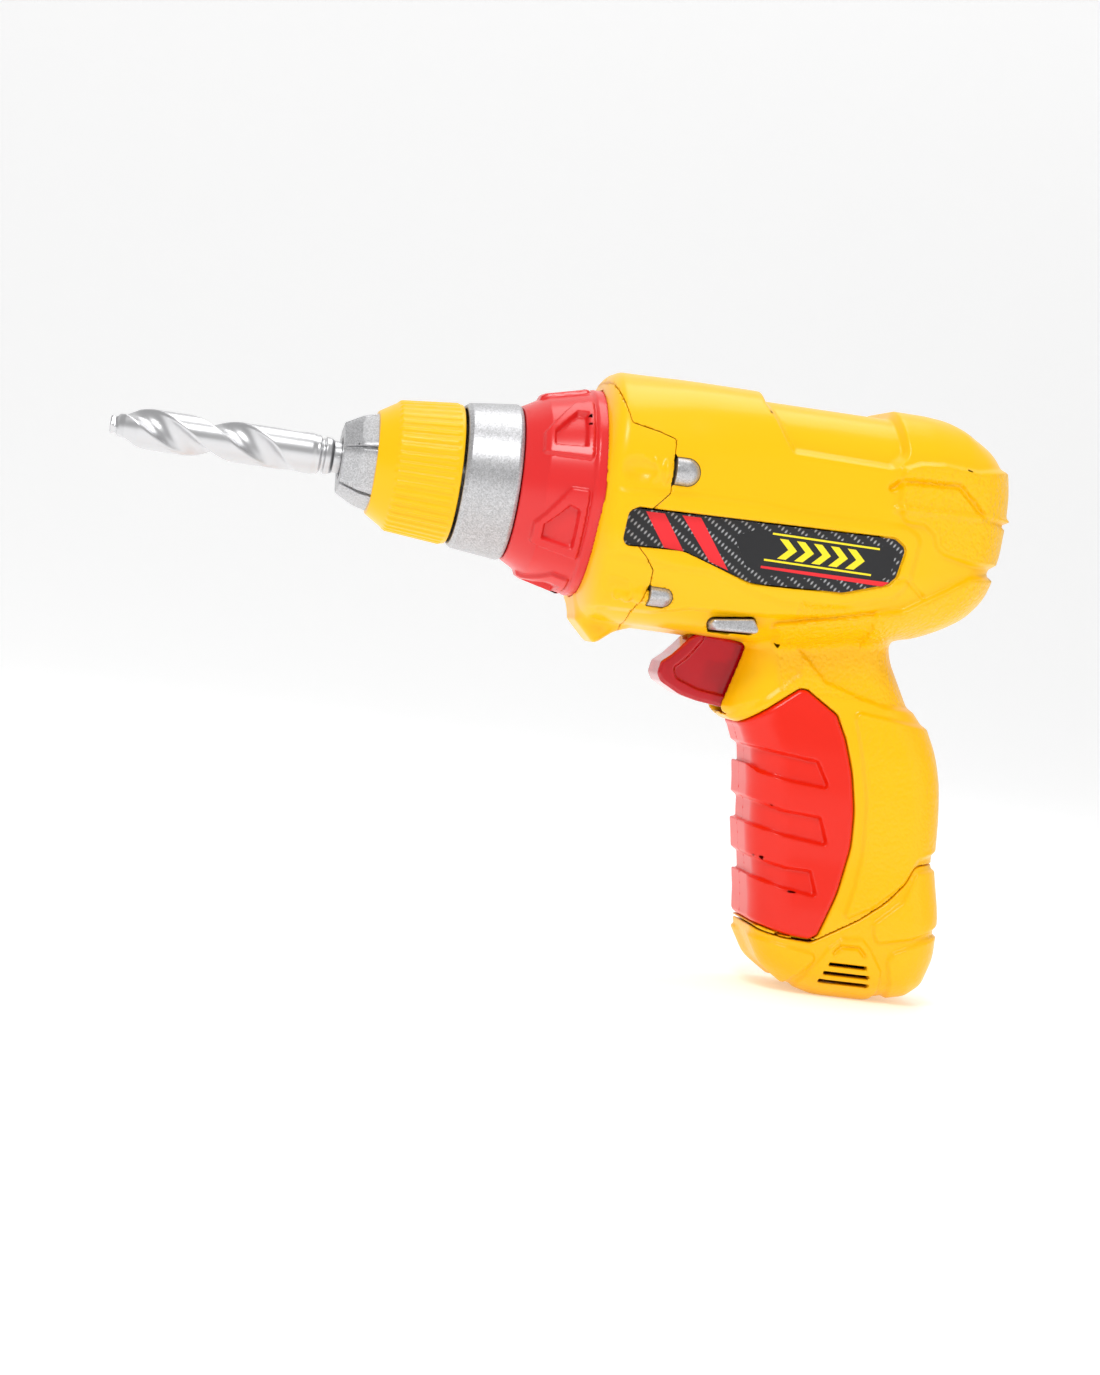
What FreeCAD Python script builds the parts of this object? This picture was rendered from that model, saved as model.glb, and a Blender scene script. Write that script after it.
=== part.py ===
import FreeCAD, Part

import math
import os

# Toy power drill: a pistol-grip battery toy with a turning chuck and a pull-out twist bit.
# The model is built with x = 0 at the chuck's mouth and z = 0 on the spindle axis, +X rearwards, +Z up.
# export() then moves it so that the origin is the middle of the base's flat resting face.

V = FreeCAD.Vector
X_AXIS, Y_AXIS, Z_AXIS = V(1, 0, 0), V(0, 1, 0), V(0, 0, 1)

# ------------------------------------------------------------------ driving dimensions
# chuck, from the mouth rearwards
nose_length = 8.4            # faceted silver nose, as far as the sleeve
nose_front_r = 8.2
nose_rear_r = 12.6
nose_mouth_r = 7.4           # round mouth that swallows the bit's collar
nose_facets = 6
nose_groove = 0.8            # width of the groove along each edge of the nose
sleeve_length = 21.6
sleeve_front_r = 13.8
sleeve_knee_r = 17.0
sleeve_rear_r = 18.9
sleeve_knee_length = 5.0
sleeve_wall = 1.9
sleeve_ribs = 40
rib_height = 0.35
core_r = 10.0
socket_flats = 8.0           # across the flats of the hexagonal bit socket
socket_depth = 9.0
spindle_r = 3.0

# fixed nose: silver band and clear red light ring
turning_gap = 0.6            # between the turning sleeve and the fixed band
band_length = 14.5
band_front_r = 19.1
band_rear_r = 20.7
band_wall = 1.6
lens_length = 19.9
lens_front_r = 20.9
lens_rear_r = 27.4
lens_wall = 2.4
lens_lip = 1.2               # rim that holds the lens behind the nose cover's face
lens_lip_length = 2.0
lens_pockets = 6
pocket_depth = 1.1

# twist bit
bit_flute_length = 44.0
bit_flute_r = 5.3
bit_web_r = 2.5
bit_pitch = 46.0
bit_shank_r = 4.5
bit_shank_length = 12.0
bit_neck_r = 3.9
bit_neck_length = 4.0
bit_tip_length = 4.2
bit_tip_side = 4.6
bit_collar_length = 2.6
bit_fit = 0.12               # all round in the socket

# housing
wall = 2.2
barrel_length = 112.2
barrel_top = 33.0
barrel_top_drop = 2.6        # step down behind the raised front panel
barrel_half_width = 28.4
nose_cover_half_width = 30.4
barrel_bottom = -33.7
barrel_bottom_rear = -24.0
chin_drop = 5.0
chin_half_width = 10.0
handle_half_width = 17.0
handle_lean = 8.0            # degrees the battery axis leans back
handle_front_x = 118.5       # at the middle of the grip
handle_depth = 53.0
base_bottom = -124.5
grip_thickness = 2.0
grip_groove_depth = 1.1
cover_gap = 0.25             # parting gap of the battery cover
lip_height = 3.0             # rim of the cover that clips inside the handle
lip_thickness = 1.0

# label and its recess
label_recess = 0.8
label_thickness = 0.25
label_margin = 0.4
label_backing = 1.6          # wall behind the recess

# trigger and direction button
trigger_half_width = 7.0
trigger_fall = 6.0           # degrees the trigger's path dips towards the rear
guide_gap = 0.3
spring_wire_r = 0.35
button_travel = 4.0
button_proud = 2.0

# drive
gear_module_out = 0.6
gear_module_in = 0.5
wheel_teeth = 40
pinion_teeth = 10
pressure_angle = 25.0
addendum_share = 0.8
dedendum_share = 1.05
backlash = 0.12
gear_width = 5.0
idler_wheel_width = 3.0
plate_thickness = 2.5
plate_r = 24.6
pillar_r = 2.6               # spacers between the two plates
bearing_gap = 0.05
axle_r = 1.0
motor_r = 10.0
motor_flat = 7.6             # half width across the flats
motor_can_length = 20.5
motor_bell_length = 4.5
motor_shaft_r = 1.0
motor_wall = 0.8
motor_boss_r = 3.0           # round boss that centres the motor in its plate

# batteries: two AA cells side by side
cell_r = 7.1
cell_length = 48.5
cell_nub_length = 1.2
cell_nub_r = 2.7
tray_wall = 1.2
tray_clearance = 0.4
wire_r = 0.55
speaker_lead_r = 1.1         # two cores in one sheath
leaf_height = 2.8            # bowed leaf springs at the cells' flat ends
leaf_width = 4.0
leaf_foot = 3.8
leaf_top = 1.2
leaf_thickness = 0.35
contact_r = 4.6
contact_thickness = 0.4
contact_gap = 0.07           # between a cell and what touches it

# speaker in the base
speaker_r = 11.5
speaker_magnet_r = 7.5
speaker_shift = 1.0          # rearwards from the middle of the base
speaker_rim = 2.0
slot_width = 1.2             # sound slots in the base
speaker_height = 6.5         # above the resting face

# circuit board, lying across the barrel behind the motor, and the lamps behind the red ring
board_side = 30.0
board_thickness = 1.6
board_z = 2.0
lamp_r = 2.5

# fasteners
screw_r = 1.3
screw_head_r = 2.6
screw_head_length = 1.8
boss_r = 3.2
head_seat_y = 12.0           # where the housing screws' heads sit

# silver studs beside the nose cover: how far out they stand, upper and lower
stud_reach = (31.0, 28.8)

# ------------------------------------------------------------------ stations along X
sleeve_front_x = nose_length
sleeve_rear_x = sleeve_front_x + sleeve_length
band_front_x = sleeve_rear_x + turning_gap
band_rear_x = band_front_x + band_length
lens_rear_x = band_rear_x + lens_length
housing_front_x = lens_rear_x
housing_rear_x = housing_front_x + barrel_length
plate_x = housing_front_x + 5.0
output_gear_x = plate_x + plate_thickness + 1.5
idler_wheel_x = output_gear_x + gear_width + 3.5
rear_plate_x = idler_wheel_x + idler_wheel_width + 3.0
motor_x = rear_plate_x + plate_thickness

board_x = housing_rear_x - board_side - 14.0
board_top = board_z + board_thickness

base_middle_x = handle_front_x + (23.0 + handle_depth - 7.0) / 2

out_r = gear_module_out * wheel_teeth / 2
out_pinion_r = gear_module_out * pinion_teeth / 2
in_r = gear_module_in * wheel_teeth / 2
in_pinion_r = gear_module_in * pinion_teeth / 2
idler_z = -(out_r + out_pinion_r)
motor_z = idler_z + in_r + in_pinion_r

lean = math.radians(handle_lean)
DOWN_HANDLE = V(math.sin(lean), 0, -math.cos(lean))
ACROSS_HANDLE = V(math.cos(lean), 0, math.sin(lean))
handle_middle_z = -75.0
HANDLE_CENTRE = V(handle_front_x + handle_depth / 2 + 1.0, 0, handle_middle_z)


# ------------------------------------------------------------------ helpers
def cylinder(start, direction, radius, length):
    """Round bar from start along direction."""
    return Part.makeCylinder(radius, length, start, direction)


def box(x0, x1, y0, y1, z0, z1):
    """Block between two corners."""
    return Part.makeBox(x1 - x0, y1 - y0, z1 - z0, V(x0, y0, z0))


def fused(shapes):
    """One shape from several that meet, without their seams."""
    whole = shapes[0]
    for other in shapes[1:]:
        whole = whole.fuse(other)
    return whole.removeSplitter()


def outline(corners, place):
    """Closed wire of straight runs with rounded corners. corners: (a, b, radius); place(a, b) gives 3D."""
    points = [place(c[0], c[1]) for c in corners]
    edges, starts, ends = [], [], []
    count = len(corners)
    for i, corner in enumerate(corners):
        here, before, after = points[i], points[i - 1], points[(i + 1) % count]
        radius = corner[2] if len(corner) > 2 else 0
        to_before = (before - here).normalize()
        to_after = (after - here).normalize()
        if radius <= 0:
            starts.append(here)
            ends.append(here)
            continue
        half = to_before.getAngle(to_after) / 2
        cut = radius / math.tan(half)
        room = 0.48 * min((before - here).Length, (after - here).Length)
        if cut > room:
            cut = room
            radius = cut * math.tan(half)
        first, last = here + to_before * cut, here + to_after * cut
        middle_way = (to_before + to_after).normalize()
        middle = here + middle_way * (radius / math.sin(half) - radius)
        edges.append((i, Part.Arc(first, middle, last).toShape()))
        starts.append(first)
        ends.append(last)
    loop = []
    arcs = dict(edges)
    for i in range(count):
        if i in arcs:
            loop.append(arcs[i])
        follow = starts[(i + 1) % count]
        if (follow - ends[i]).Length > 1e-6:
            loop.append(Part.makeLine(ends[i], follow))
    return Part.Wire(loop)


def side_prism(corners, y0, y1):
    """A side-view (X, Z) outline, extruded from y0 to y1."""
    wire = outline(corners, lambda x, z: V(x, y0, z))
    return Part.Face(wire).extrude(V(0, y1 - y0, 0))


def turned(profile):
    """Solid of revolution about the spindle axis from a closed (x, r) profile."""
    points = [V(x, 0, r) for x, r in profile]
    face = Part.Face(Part.makePolygon(points + [points[0]]))
    return face.revolve(V(0, 0, 0), X_AXIS, 360)


def ring(x0, x1, outer, inner):
    """Tube round the spindle axis between two stations."""
    return cylinder(V(x0, 0, 0), X_AXIS, outer, x1 - x0).cut(
        cylinder(V(x0 - 1, 0, 0), X_AXIS, inner, x1 - x0 + 2))


def hexagon_prism(x0, x1, flats, angle=0.0):
    corner_r = flats / math.sqrt(3)
    points = [V(x0, corner_r * math.cos(math.radians(60 * k + angle)),
                corner_r * math.sin(math.radians(60 * k + angle))) for k in range(7)]
    return Part.Face(Part.makePolygon(points)).extrude(V(x1 - x0, 0, 0))


def involute(angle):
    return math.tan(angle) - angle


def gear(teeth, module, x0, width, y, z, phase, bore_r):
    """Spur gear about an axis along X, with one tooth centred at the angle phase (degrees, +Y to +Z)."""
    pitch_r = teeth * module / 2
    base_r = pitch_r * math.cos(math.radians(pressure_angle))
    tip_r = pitch_r + addendum_share * module
    root_r = pitch_r - dedendum_share * module
    half_at_pitch = math.pi / (2 * teeth) - backlash / (4 * pitch_r)
    start_r = max(base_r, root_r)

    def half_angle(r):
        at_pitch = involute(math.radians(pressure_angle))
        return half_at_pitch + at_pitch - involute(math.acos(min(1, base_r / r)))

    def at(r, angle):
        return V(x0, y + r * math.cos(angle), z + r * math.sin(angle))

    flank = [start_r + (tip_r - start_r) * k / 4 for k in range(5)]
    edges = []
    step = 2 * math.pi / teeth
    for tooth in range(teeth):
        centre = math.radians(phase) + tooth * step
        rise = [at(r, centre - half_angle(r)) for r in flank]
        fall = [at(r, centre + half_angle(r)) for r in reversed(flank)]
        foot = half_angle(start_r)
        if root_r < start_r:
            edges.append(Part.makeLine(at(root_r, centre - foot), rise[0]))
        curve = Part.BSplineCurve()
        curve.interpolate(rise)
        edges.append(curve.toShape())
        edges.append(Part.Arc(rise[-1], at(tip_r, centre), fall[0]).toShape())
        curve = Part.BSplineCurve()
        curve.interpolate(fall)
        edges.append(curve.toShape())
        if root_r < start_r:
            edges.append(Part.makeLine(fall[-1], at(root_r, centre + foot)))
        root_middle = centre + step / 2
        edges.append(Part.Arc(at(root_r, centre + foot), at(root_r, root_middle),
                              at(root_r, centre + step - foot)).toShape())
    blank = Part.Face(Part.Wire(edges)).extrude(V(width, 0, 0))
    return blank.cut(cylinder(V(x0 - 1, y, z), X_AXIS, bore_r, width + 2))


def screw(start, direction, length):
    """Pan-head screw whose head's outer face is at start and whose shank runs along direction."""
    head = cylinder(start, direction, screw_head_r, screw_head_length)
    shank = cylinder(start, direction, screw_r, length)
    slot_depth = screw_head_length / 2
    cross = None
    side = Z_AXIS if abs(direction.dot(Z_AXIS)) < 0.5 else X_AXIS
    for turn in (0, 90):
        bar = Part.makeBox(0.6, screw_head_r * 1.3, slot_depth * 2,
                           V(-0.3, -screw_head_r * 0.65, -slot_depth))
        bar.rotate(V(0, 0, 0), Z_AXIS, turn)
        cross = bar if cross is None else cross.fuse(bar)
    cross.Placement = FreeCAD.Placement(start, FreeCAD.Rotation(direction.cross(side), side, direction))
    return head.fuse(shank).cut(cross)


def export(name, shape):
    """Move a piece to the base's frame and write it as one file."""
    shape = shape.translated(V(-base_middle_x, 0, -base_bottom))
    solids = [s for s in shape.Solids if s.Volume > 0.05]
    shape = solids[0] if len(solids) == 1 else Part.makeCompound(solids)
    if not shape.isValid() or not solids:
        print("INVALID", name)
    shape.exportStep(f"parts/{name}.step")
    print(name, len(solids), round(shape.Volume, 1))
    return shape


# ------------------------------------------------------------------ outer form of the housing
def barrel_section(x, top, bottom, half_width, top_r, bottom_r, inset):
    """Rounded section across the barrel at x, brought in by inset all round."""
    top, bottom, half_width = top - inset, bottom + inset, half_width - inset
    limit = half_width - 0.5
    top_r = min(max(top_r - inset, 1.0), limit)
    bottom_r = min(max(bottom_r - inset, 1.0), limit)
    corners = [(-half_width, top, top_r), (half_width, top, top_r),
               (half_width, bottom, bottom_r), (-half_width, bottom, bottom_r)]
    return outline(corners, lambda y, z: V(x, y, z))


def barrel(inset):
    """Barrel of the drill, or with an inset its inner form."""
    front, rear = housing_front_x, housing_rear_x
    half, low, top = barrel_half_width, barrel_bottom, barrel_top
    step = front + 41.0
    rear_low = barrel_bottom_rear
    stations = [
        (front + inset, top - 3.2, low + 3.2, nose_cover_half_width - 3.0, 24, 20),
        (front + 3.4 + inset / 2, top, low, nose_cover_half_width, 24, 20),
        (front + 22.0, top, low, half + 0.6, 21, 18),
        (step, top, low, half, 19, 17),
        (step + 3.4, top - barrel_top_drop, low, half, 17, 17),
        (front + 76.5, top - barrel_top_drop, (low + rear_low) / 2, half, 17, 16),
        (front + 81.0, top + 0.2, rear_low - 2.0, half, 17, 14),
        (front + 98.0, top - 0.6, rear_low, half - 1.4, 17, 13),
        (front + 106.0, top - 5.4, rear_low + 6.0, half - 4.5, 15, 10),
        (rear - 1.6 - inset, top - 12.0, rear_low + 18.0, half - 9.0, 12, 8),
        (rear - inset, top - 16.0, rear_low + 23.0, half - 13.0, 9, 6),
    ]
    wires = [barrel_section(x, t, b, w, rt, rb, inset) for x, t, b, w, rt, rb in stations]
    return Part.makeLoft(wires, True, True)


def handle_stations():
    """(z, front x, rear x, half width) down the handle, to the base."""
    front, rear, half = handle_front_x, handle_front_x + handle_depth, handle_half_width
    z_bottom = base_bottom
    return [
        (barrel_bottom_rear + 6.0, front - 6.3, rear - 22.0, half),
        (-34.0, front - 6.3, rear - 17.0, half - 1.0),
        (-44.5, front - 8.9, rear - 10.4, half - 0.8),
        (-52.0, front - 10.7, rear - 5.0, half - 0.4),
        (-55.5, front - 3.9, rear - 3.0, half),
        (-72.0, front, rear, half + 0.2),
        (-88.0, front + 2.8, rear + 0.8, half + 0.5),
        (-106.0, front + 6.0, rear + 3.9, half + 0.8),
        (z_bottom + 10.0, front + 8.4, rear + 3.4, half + 0.5),
        (z_bottom + 3.6, front + 16.0, rear - 1.5, half - 2.0),
        (z_bottom, front + 23.0, rear - 7.0, half - 4.5),
    ]


def handle(inset):
    """Handle and base of the drill, or with an inset its inner form."""
    wires = []
    rows = handle_stations()
    for i, (z, front, rear, half) in enumerate(rows):
        if i == len(rows) - 1:
            z = z + inset
        if inset and i == len(rows) - 2:
            z = z + inset * 0.6
        radius = min(11.0 - inset, half - inset - 0.5)
        corners = [(front + inset, -half + inset, radius), (rear - inset, -half + inset, radius),
                   (rear - inset, half - inset, radius), (front + inset, half - inset, radius)]
        wires.append(outline(corners, lambda x, y, z=z: V(x, y, z)))
    return Part.makeLoft(wires, True, True)


def chin(inset):
    """Small beak under the front of the nose cover."""
    front, low = housing_front_x, barrel_bottom
    corners = [(front + 0.4 + inset, low + 6.0), (front + 1.4 + inset, low + 0.4, 3.0),
               (front + 7.0, low - chin_drop + inset * 1.4, 1.6 if not inset else 0.5),
               (front + 13.8 - inset, low - 0.2, 5.0), (front + 13.8 - inset, low + 6.0)]
    return side_prism(corners, -chin_half_width + inset, chin_half_width - inset)


# ------------------------------------------------------------------ side-view outlines of the parting lines
def nose_cover_outline():
    front = housing_front_x
    return [(front - 20, 60), (front + 5.3, 60), (front + 5.3, 18), (front + 17.3, 15), (front + 17.3, 0),
            (front + 13.0, -3), (front + 12.0, -13), (front + 15.6, -18), (front + 15.6, -22),
            (front + 14.0, -29), (front + 14.0, -60), (front - 20, -60)]


def cover_outline(shift):
    """Region below the curved parting line of the battery cover, lowered by shift."""
    front, rear = handle_front_x, handle_front_x + handle_depth
    z = base_bottom
    return [(front - 20, z + 24.0 - shift), (front + 8.0, z + 15.6 - shift, 6.0),
            (front + 21.5, z + 14.6 - shift, 1.0), (front + 41.0, z + 25.6 - shift, 30.0),
            (rear + 0.5, z + 39.0 - shift, 6.0), (rear + 20, z + 48.0 - shift),
            (rear + 20, z - 20), (front - 20, z - 20)]


def grip_outline():
    x, z = handle_front_x, handle_middle_z
    return [(x - 30, z + 9.0), (x - 7.0, z + 20.6), (x + 9.7, z + 32.0, 2.0), (x + 20.0, z + 25.7, 2.0),
            (x + 26.0, z + 11.0, 30.0), (x + 28.6, z - 6.6, 30.0), (x + 26.6, z - 20.0, 30.0),
            (x + 22.0, z - 33.4, 1.5), (x + 13.5, z - 33.1, 12.0), (x + 3.0, z - 30.6, 4.0), (x - 30, z - 21.0)]


def grip_windows():
    """Three sunk finger windows, each (x, z, radius) corners."""
    x, z = handle_front_x, handle_middle_z
    return [
        [(x - 20, z + 19.0), (x - 3.0, z + 15.4), (x + 16.0, z + 13.2, 1), (x + 20.3, z + 6.6, 1),
         (x + 1.0, z + 8.3, 4), (x - 4.0, z + 12.0), (x - 20, z + 14.0)],
        [(x - 20, z + 4.0), (x - 2.0, z + 1.4), (x + 8.5, z - 0.9), (x + 18.7, z - 1.3, 1), (x + 21.4, z - 8.7, 1),
         (x + 9.5, z - 7.3), (x + 0.5, z - 5.7, 4), (x - 3.0, z - 3.0), (x - 20, z - 1.0)],
        [(x - 20, z - 11.5), (x + 0.0, z - 13.2), (x + 11.0, z - 15.6), (x + 18.0, z - 15.9, 1),
         (x + 20.4, z - 22.1, 1), (x + 11.7, z - 20.9), (x + 3.5, z - 19.9, 4), (x - 1.0, z - 16.5), (x - 20, z - 15.5)],
    ]


def label_outline(grow):
    """Six-sided label on the barrel's flank, grown outwards by grow."""
    front = housing_front_x
    g = grow
    return [(front + 7.2 - g, -2.8 + g, 2.5), (front + 80.6 + g, -1.2 + g, 2.5),
            (front + 80.2 + g, -11.6 - g, 2.0),
            (front + 66.5, -17.1 - g, 3.0), (front + 41.6 - g * 0.4, -17.9 - g, 6.0),
            (front + 23.0 - g * 0.4, -11.9 - g, 6.0), (front + 6.4 - g, -12.6 - g, 1.8)]


def trigger_outline():
    """Trigger in side view: hooked finger face in front, guided block behind."""
    x, z = housing_front_x, barrel_bottom
    return [(x + 35.5, z + 1.6, 0.5), (x + 32.4, z - 0.4), (x + 30.4, z - 3.4), (x + 27.6, z - 6.0),
            (x + 25.2, z - 7.7, 1.2), (x + 25.0, z - 11.6, 2.0), (x + 30.6, z - 15.4), (x + 35.5, z - 17.0),
            (x + 47.0, z - 18.2), (x + 50.6, z + 0.0, 0.5)]


def button_outline(grow):
    x, z = housing_front_x, barrel_bottom
    g = grow
    return [(x + 32.9 - g, z + 6.6 + g, 1.2), (x + 45.0 + g * 0.6, z + 6.9 + g, 1.0),
            (x + 47.3 + g * 1.4, z + 3.0 - g, 1.0), (x + 34.9 - g, z + 2.9 - g, 1.6)]


def trigger_way():
    """Slot the trigger slides in, parallel to its path, with the guide gap all round."""
    x, z = housing_front_x, barrel_bottom
    front, rear = x + 32.2 - guide_gap, x + 60.9
    fall = math.tan(math.radians(trigger_fall)) * (rear - front)
    top, bottom = z + 2.0 + guide_gap, z - 17.0 - guide_gap
    corners = [(front, top), (rear, top - fall), (rear, bottom - fall), (front, bottom)]
    return side_prism(corners, -trigger_half_width - guide_gap, trigger_half_width + guide_gap)


# ------------------------------------------------------------------ housing pieces
def screw_places():
    """(x, z) of the screws that hold the two housing halves together."""
    front, rear = housing_front_x, housing_rear_x
    hx = handle_front_x
    return [(front + 33.0, barrel_top - 8.5), (rear - 22.0, barrel_top - 10.0),
            (rear - 14.5, barrel_bottom_rear + 9.5), (front + 24.5, barrel_bottom + 7.0),
            (hx + 29.0, -37.0), (hx + handle_depth - 7.0, handle_middle_z + 15.0)]


def stud_places():
    """(flat x, z, radius) of the silver studs beside the nose cover."""
    front = housing_front_x
    return [(front + 17.9, 7.9, 3.9), (front + 16.3, -23.5, 3.0)]


def stud(place, side, grow, depth):
    """D-shaped stud on one flank: flat towards the nose, round towards the rear, standing on |y| = depth."""
    x, z, radius = place
    length = 9.0
    start = V(x + radius * 0.75, side * depth, z)
    body = cylinder(start, V(0, side, 0), radius + grow, length)
    flat = box(x - grow, x + 3 * radius, -60, 60, z - 2 * radius, z + 2 * radius)
    return body.common(flat)


def make_housing():
    outer_barrel, outer_handle = barrel(0), handle(0)
    outer = outer_barrel.fuse(outer_handle).fuse(chin(0))
    inner = barrel(wall).fuse(handle(wall)).fuse(chin(wall))
    grip_zone = side_prism(grip_outline(), -40, 40)
    deep = handle(grip_thickness + wall).common(grip_zone)
    inner = inner.cut(grip_zone).fuse(deep)
    grips = outer_handle.cut(handle(grip_thickness)).common(grip_zone)
    windows = [side_prism(w, -40, 40) for w in grip_windows()]
    groove_core = handle(grip_groove_depth)
    grip_cut = grips
    for window in windows:
        grip_cut = grip_cut.cut(window.cut(groove_core))
    shell = outer.cut(inner).cut(grips)

    cover_zone = side_prism(cover_outline(cover_gap), -60, 60)
    body_zone_cut = side_prism(cover_outline(0), -60, 60)
    nose_zone = side_prism(nose_cover_outline(), -60, 60)
    cover = shell.common(cover_zone)
    lip = handle(wall).cut(handle(wall + lip_thickness))
    lip = lip.common(side_prism(cover_outline(-lip_height), -60, 60))
    lip = lip.cut(side_prism(cover_outline(lip_height), -60, 60))
    under_speaker = V(base_middle_x + speaker_shift, 0, base_bottom)
    seat = cylinder(under_speaker + V(0, 0, 1.0), Z_AXIS, speaker_r + 0.8, speaker_height - 1.0)
    seat = seat.cut(cylinder(under_speaker, Z_AXIS, speaker_r - 1.2, speaker_height))
    cover = cover.fuse(lip).fuse(seat.common(outer_handle))
    nose = shell.common(nose_zone)
    body = shell.cut(body_zone_cut).cut(nose_zone)
    return outer, inner, body, cover, nose, grip_cut


def add_ribs(body, outer):
    """Ribs and screw bosses inside the housing, on both halves."""
    rib_x = plate_x + plate_thickness
    rib_width = 2.0
    parts = []
    plate_rib = box(rib_x, rib_x + 1.4, -40, 40, barrel_bottom + 1, barrel_top - 1)
    plate_rib = plate_rib.cut(cylinder(V(rib_x - 1, 0, 0), X_AXIS, plate_r - 2.6, 6))
    nose_zone = side_prism(nose_cover_outline(), -60, 60)
    parts.append(plate_rib.common(outer).cut(nose_zone))
    motor_rib = box(motor_x + 8, motor_x + 8 + rib_width, -40, 40, barrel_bottom + 8.5, barrel_top - 1)
    motor_rib = motor_rib.cut(cylinder(V(motor_x, 0, motor_z), X_AXIS, motor_r + bearing_gap, 30))
    parts.append(motor_rib.common(outer))
    for x, z in screw_places():
        parts.append(cylinder(V(x, -60, z), Y_AXIS, boss_r, 120).common(outer))
    for part in parts:
        body = body.fuse(part)
    return body


def half(shape, side):
    """The part of a shape on the left (side -1) or the right (side +1) of the middle plane."""
    y0, y1 = (-80, 0) if side < 0 else (0, 80)
    return shape.common(box(-100, 300, y0, y1, -200, 100))


def flank_depth(z):
    """|y| of the floor that a stud stands on."""
    return barrel_half_width - 2.6 if z > -10 else barrel_half_width - 6.4


def make_shells():
    outer, inner, body, cover, nose, grips = make_housing()
    body = add_ribs(body, outer)
    # openings that both halves share
    body = body.cut(trigger_way())
    body = body.cut(side_prism(button_outline(guide_gap), -60, 60))
    bore = cylinder(V(housing_front_x - 1, 0, 0), X_AXIS, lens_rear_r + bearing_gap, 12)
    lip_room = cylinder(V(housing_front_x + 1.5, 0, 0), X_AXIS, lens_rear_r + lens_lip + bearing_gap,
                        plate_x - housing_front_x - 1.5)
    nose = nose.cut(bore).cut(lip_room)
    nose_zone = side_prism(nose_cover_outline(), -60, 60)
    floor_y = barrel_half_width - label_recess
    for side in (-1, 1):
        recess = side_prism(label_outline(label_margin), side * 60, side * floor_y)
        body, nose = body.cut(recess), nose.cut(recess)
        backing = side_prism(label_outline(label_margin + 1.2), side * floor_y,
                             side * (floor_y - label_backing))
        body = body.fuse(backing.cut(nose_zone))
        nose = nose.fuse(backing.common(nose_zone))
        for place in stud_places():
            depth = flank_depth(place[1])
            pocket = stud(place, side, 0.15, depth)
            seat = stud(place, side, 1.2, depth - 1.4).common(outer)
            body = body.fuse(seat.cut(nose_zone)).cut(pocket)
            nose = nose.fuse(seat.common(nose_zone)).cut(pocket)
    left, right = half(body, -1), half(body, 1)
    screws = []
    for x, z in screw_places():
        right = right.cut(cylinder(V(x, head_seat_y - 1.8, z), Y_AXIS, screw_head_r + 0.3, 60))
        right = right.cut(cylinder(V(x, -1, z), Y_AXIS, screw_r + 0.1, 60))
        left = left.cut(cylinder(V(x, -10, z), Y_AXIS, screw_r, 20))
        screws.append(screw(V(x, head_seat_y, z), V(0, -1, 0), head_seat_y + 8.0))
    return outer, inner, left, right, cover, nose, grips, Part.makeCompound(screws)


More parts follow.
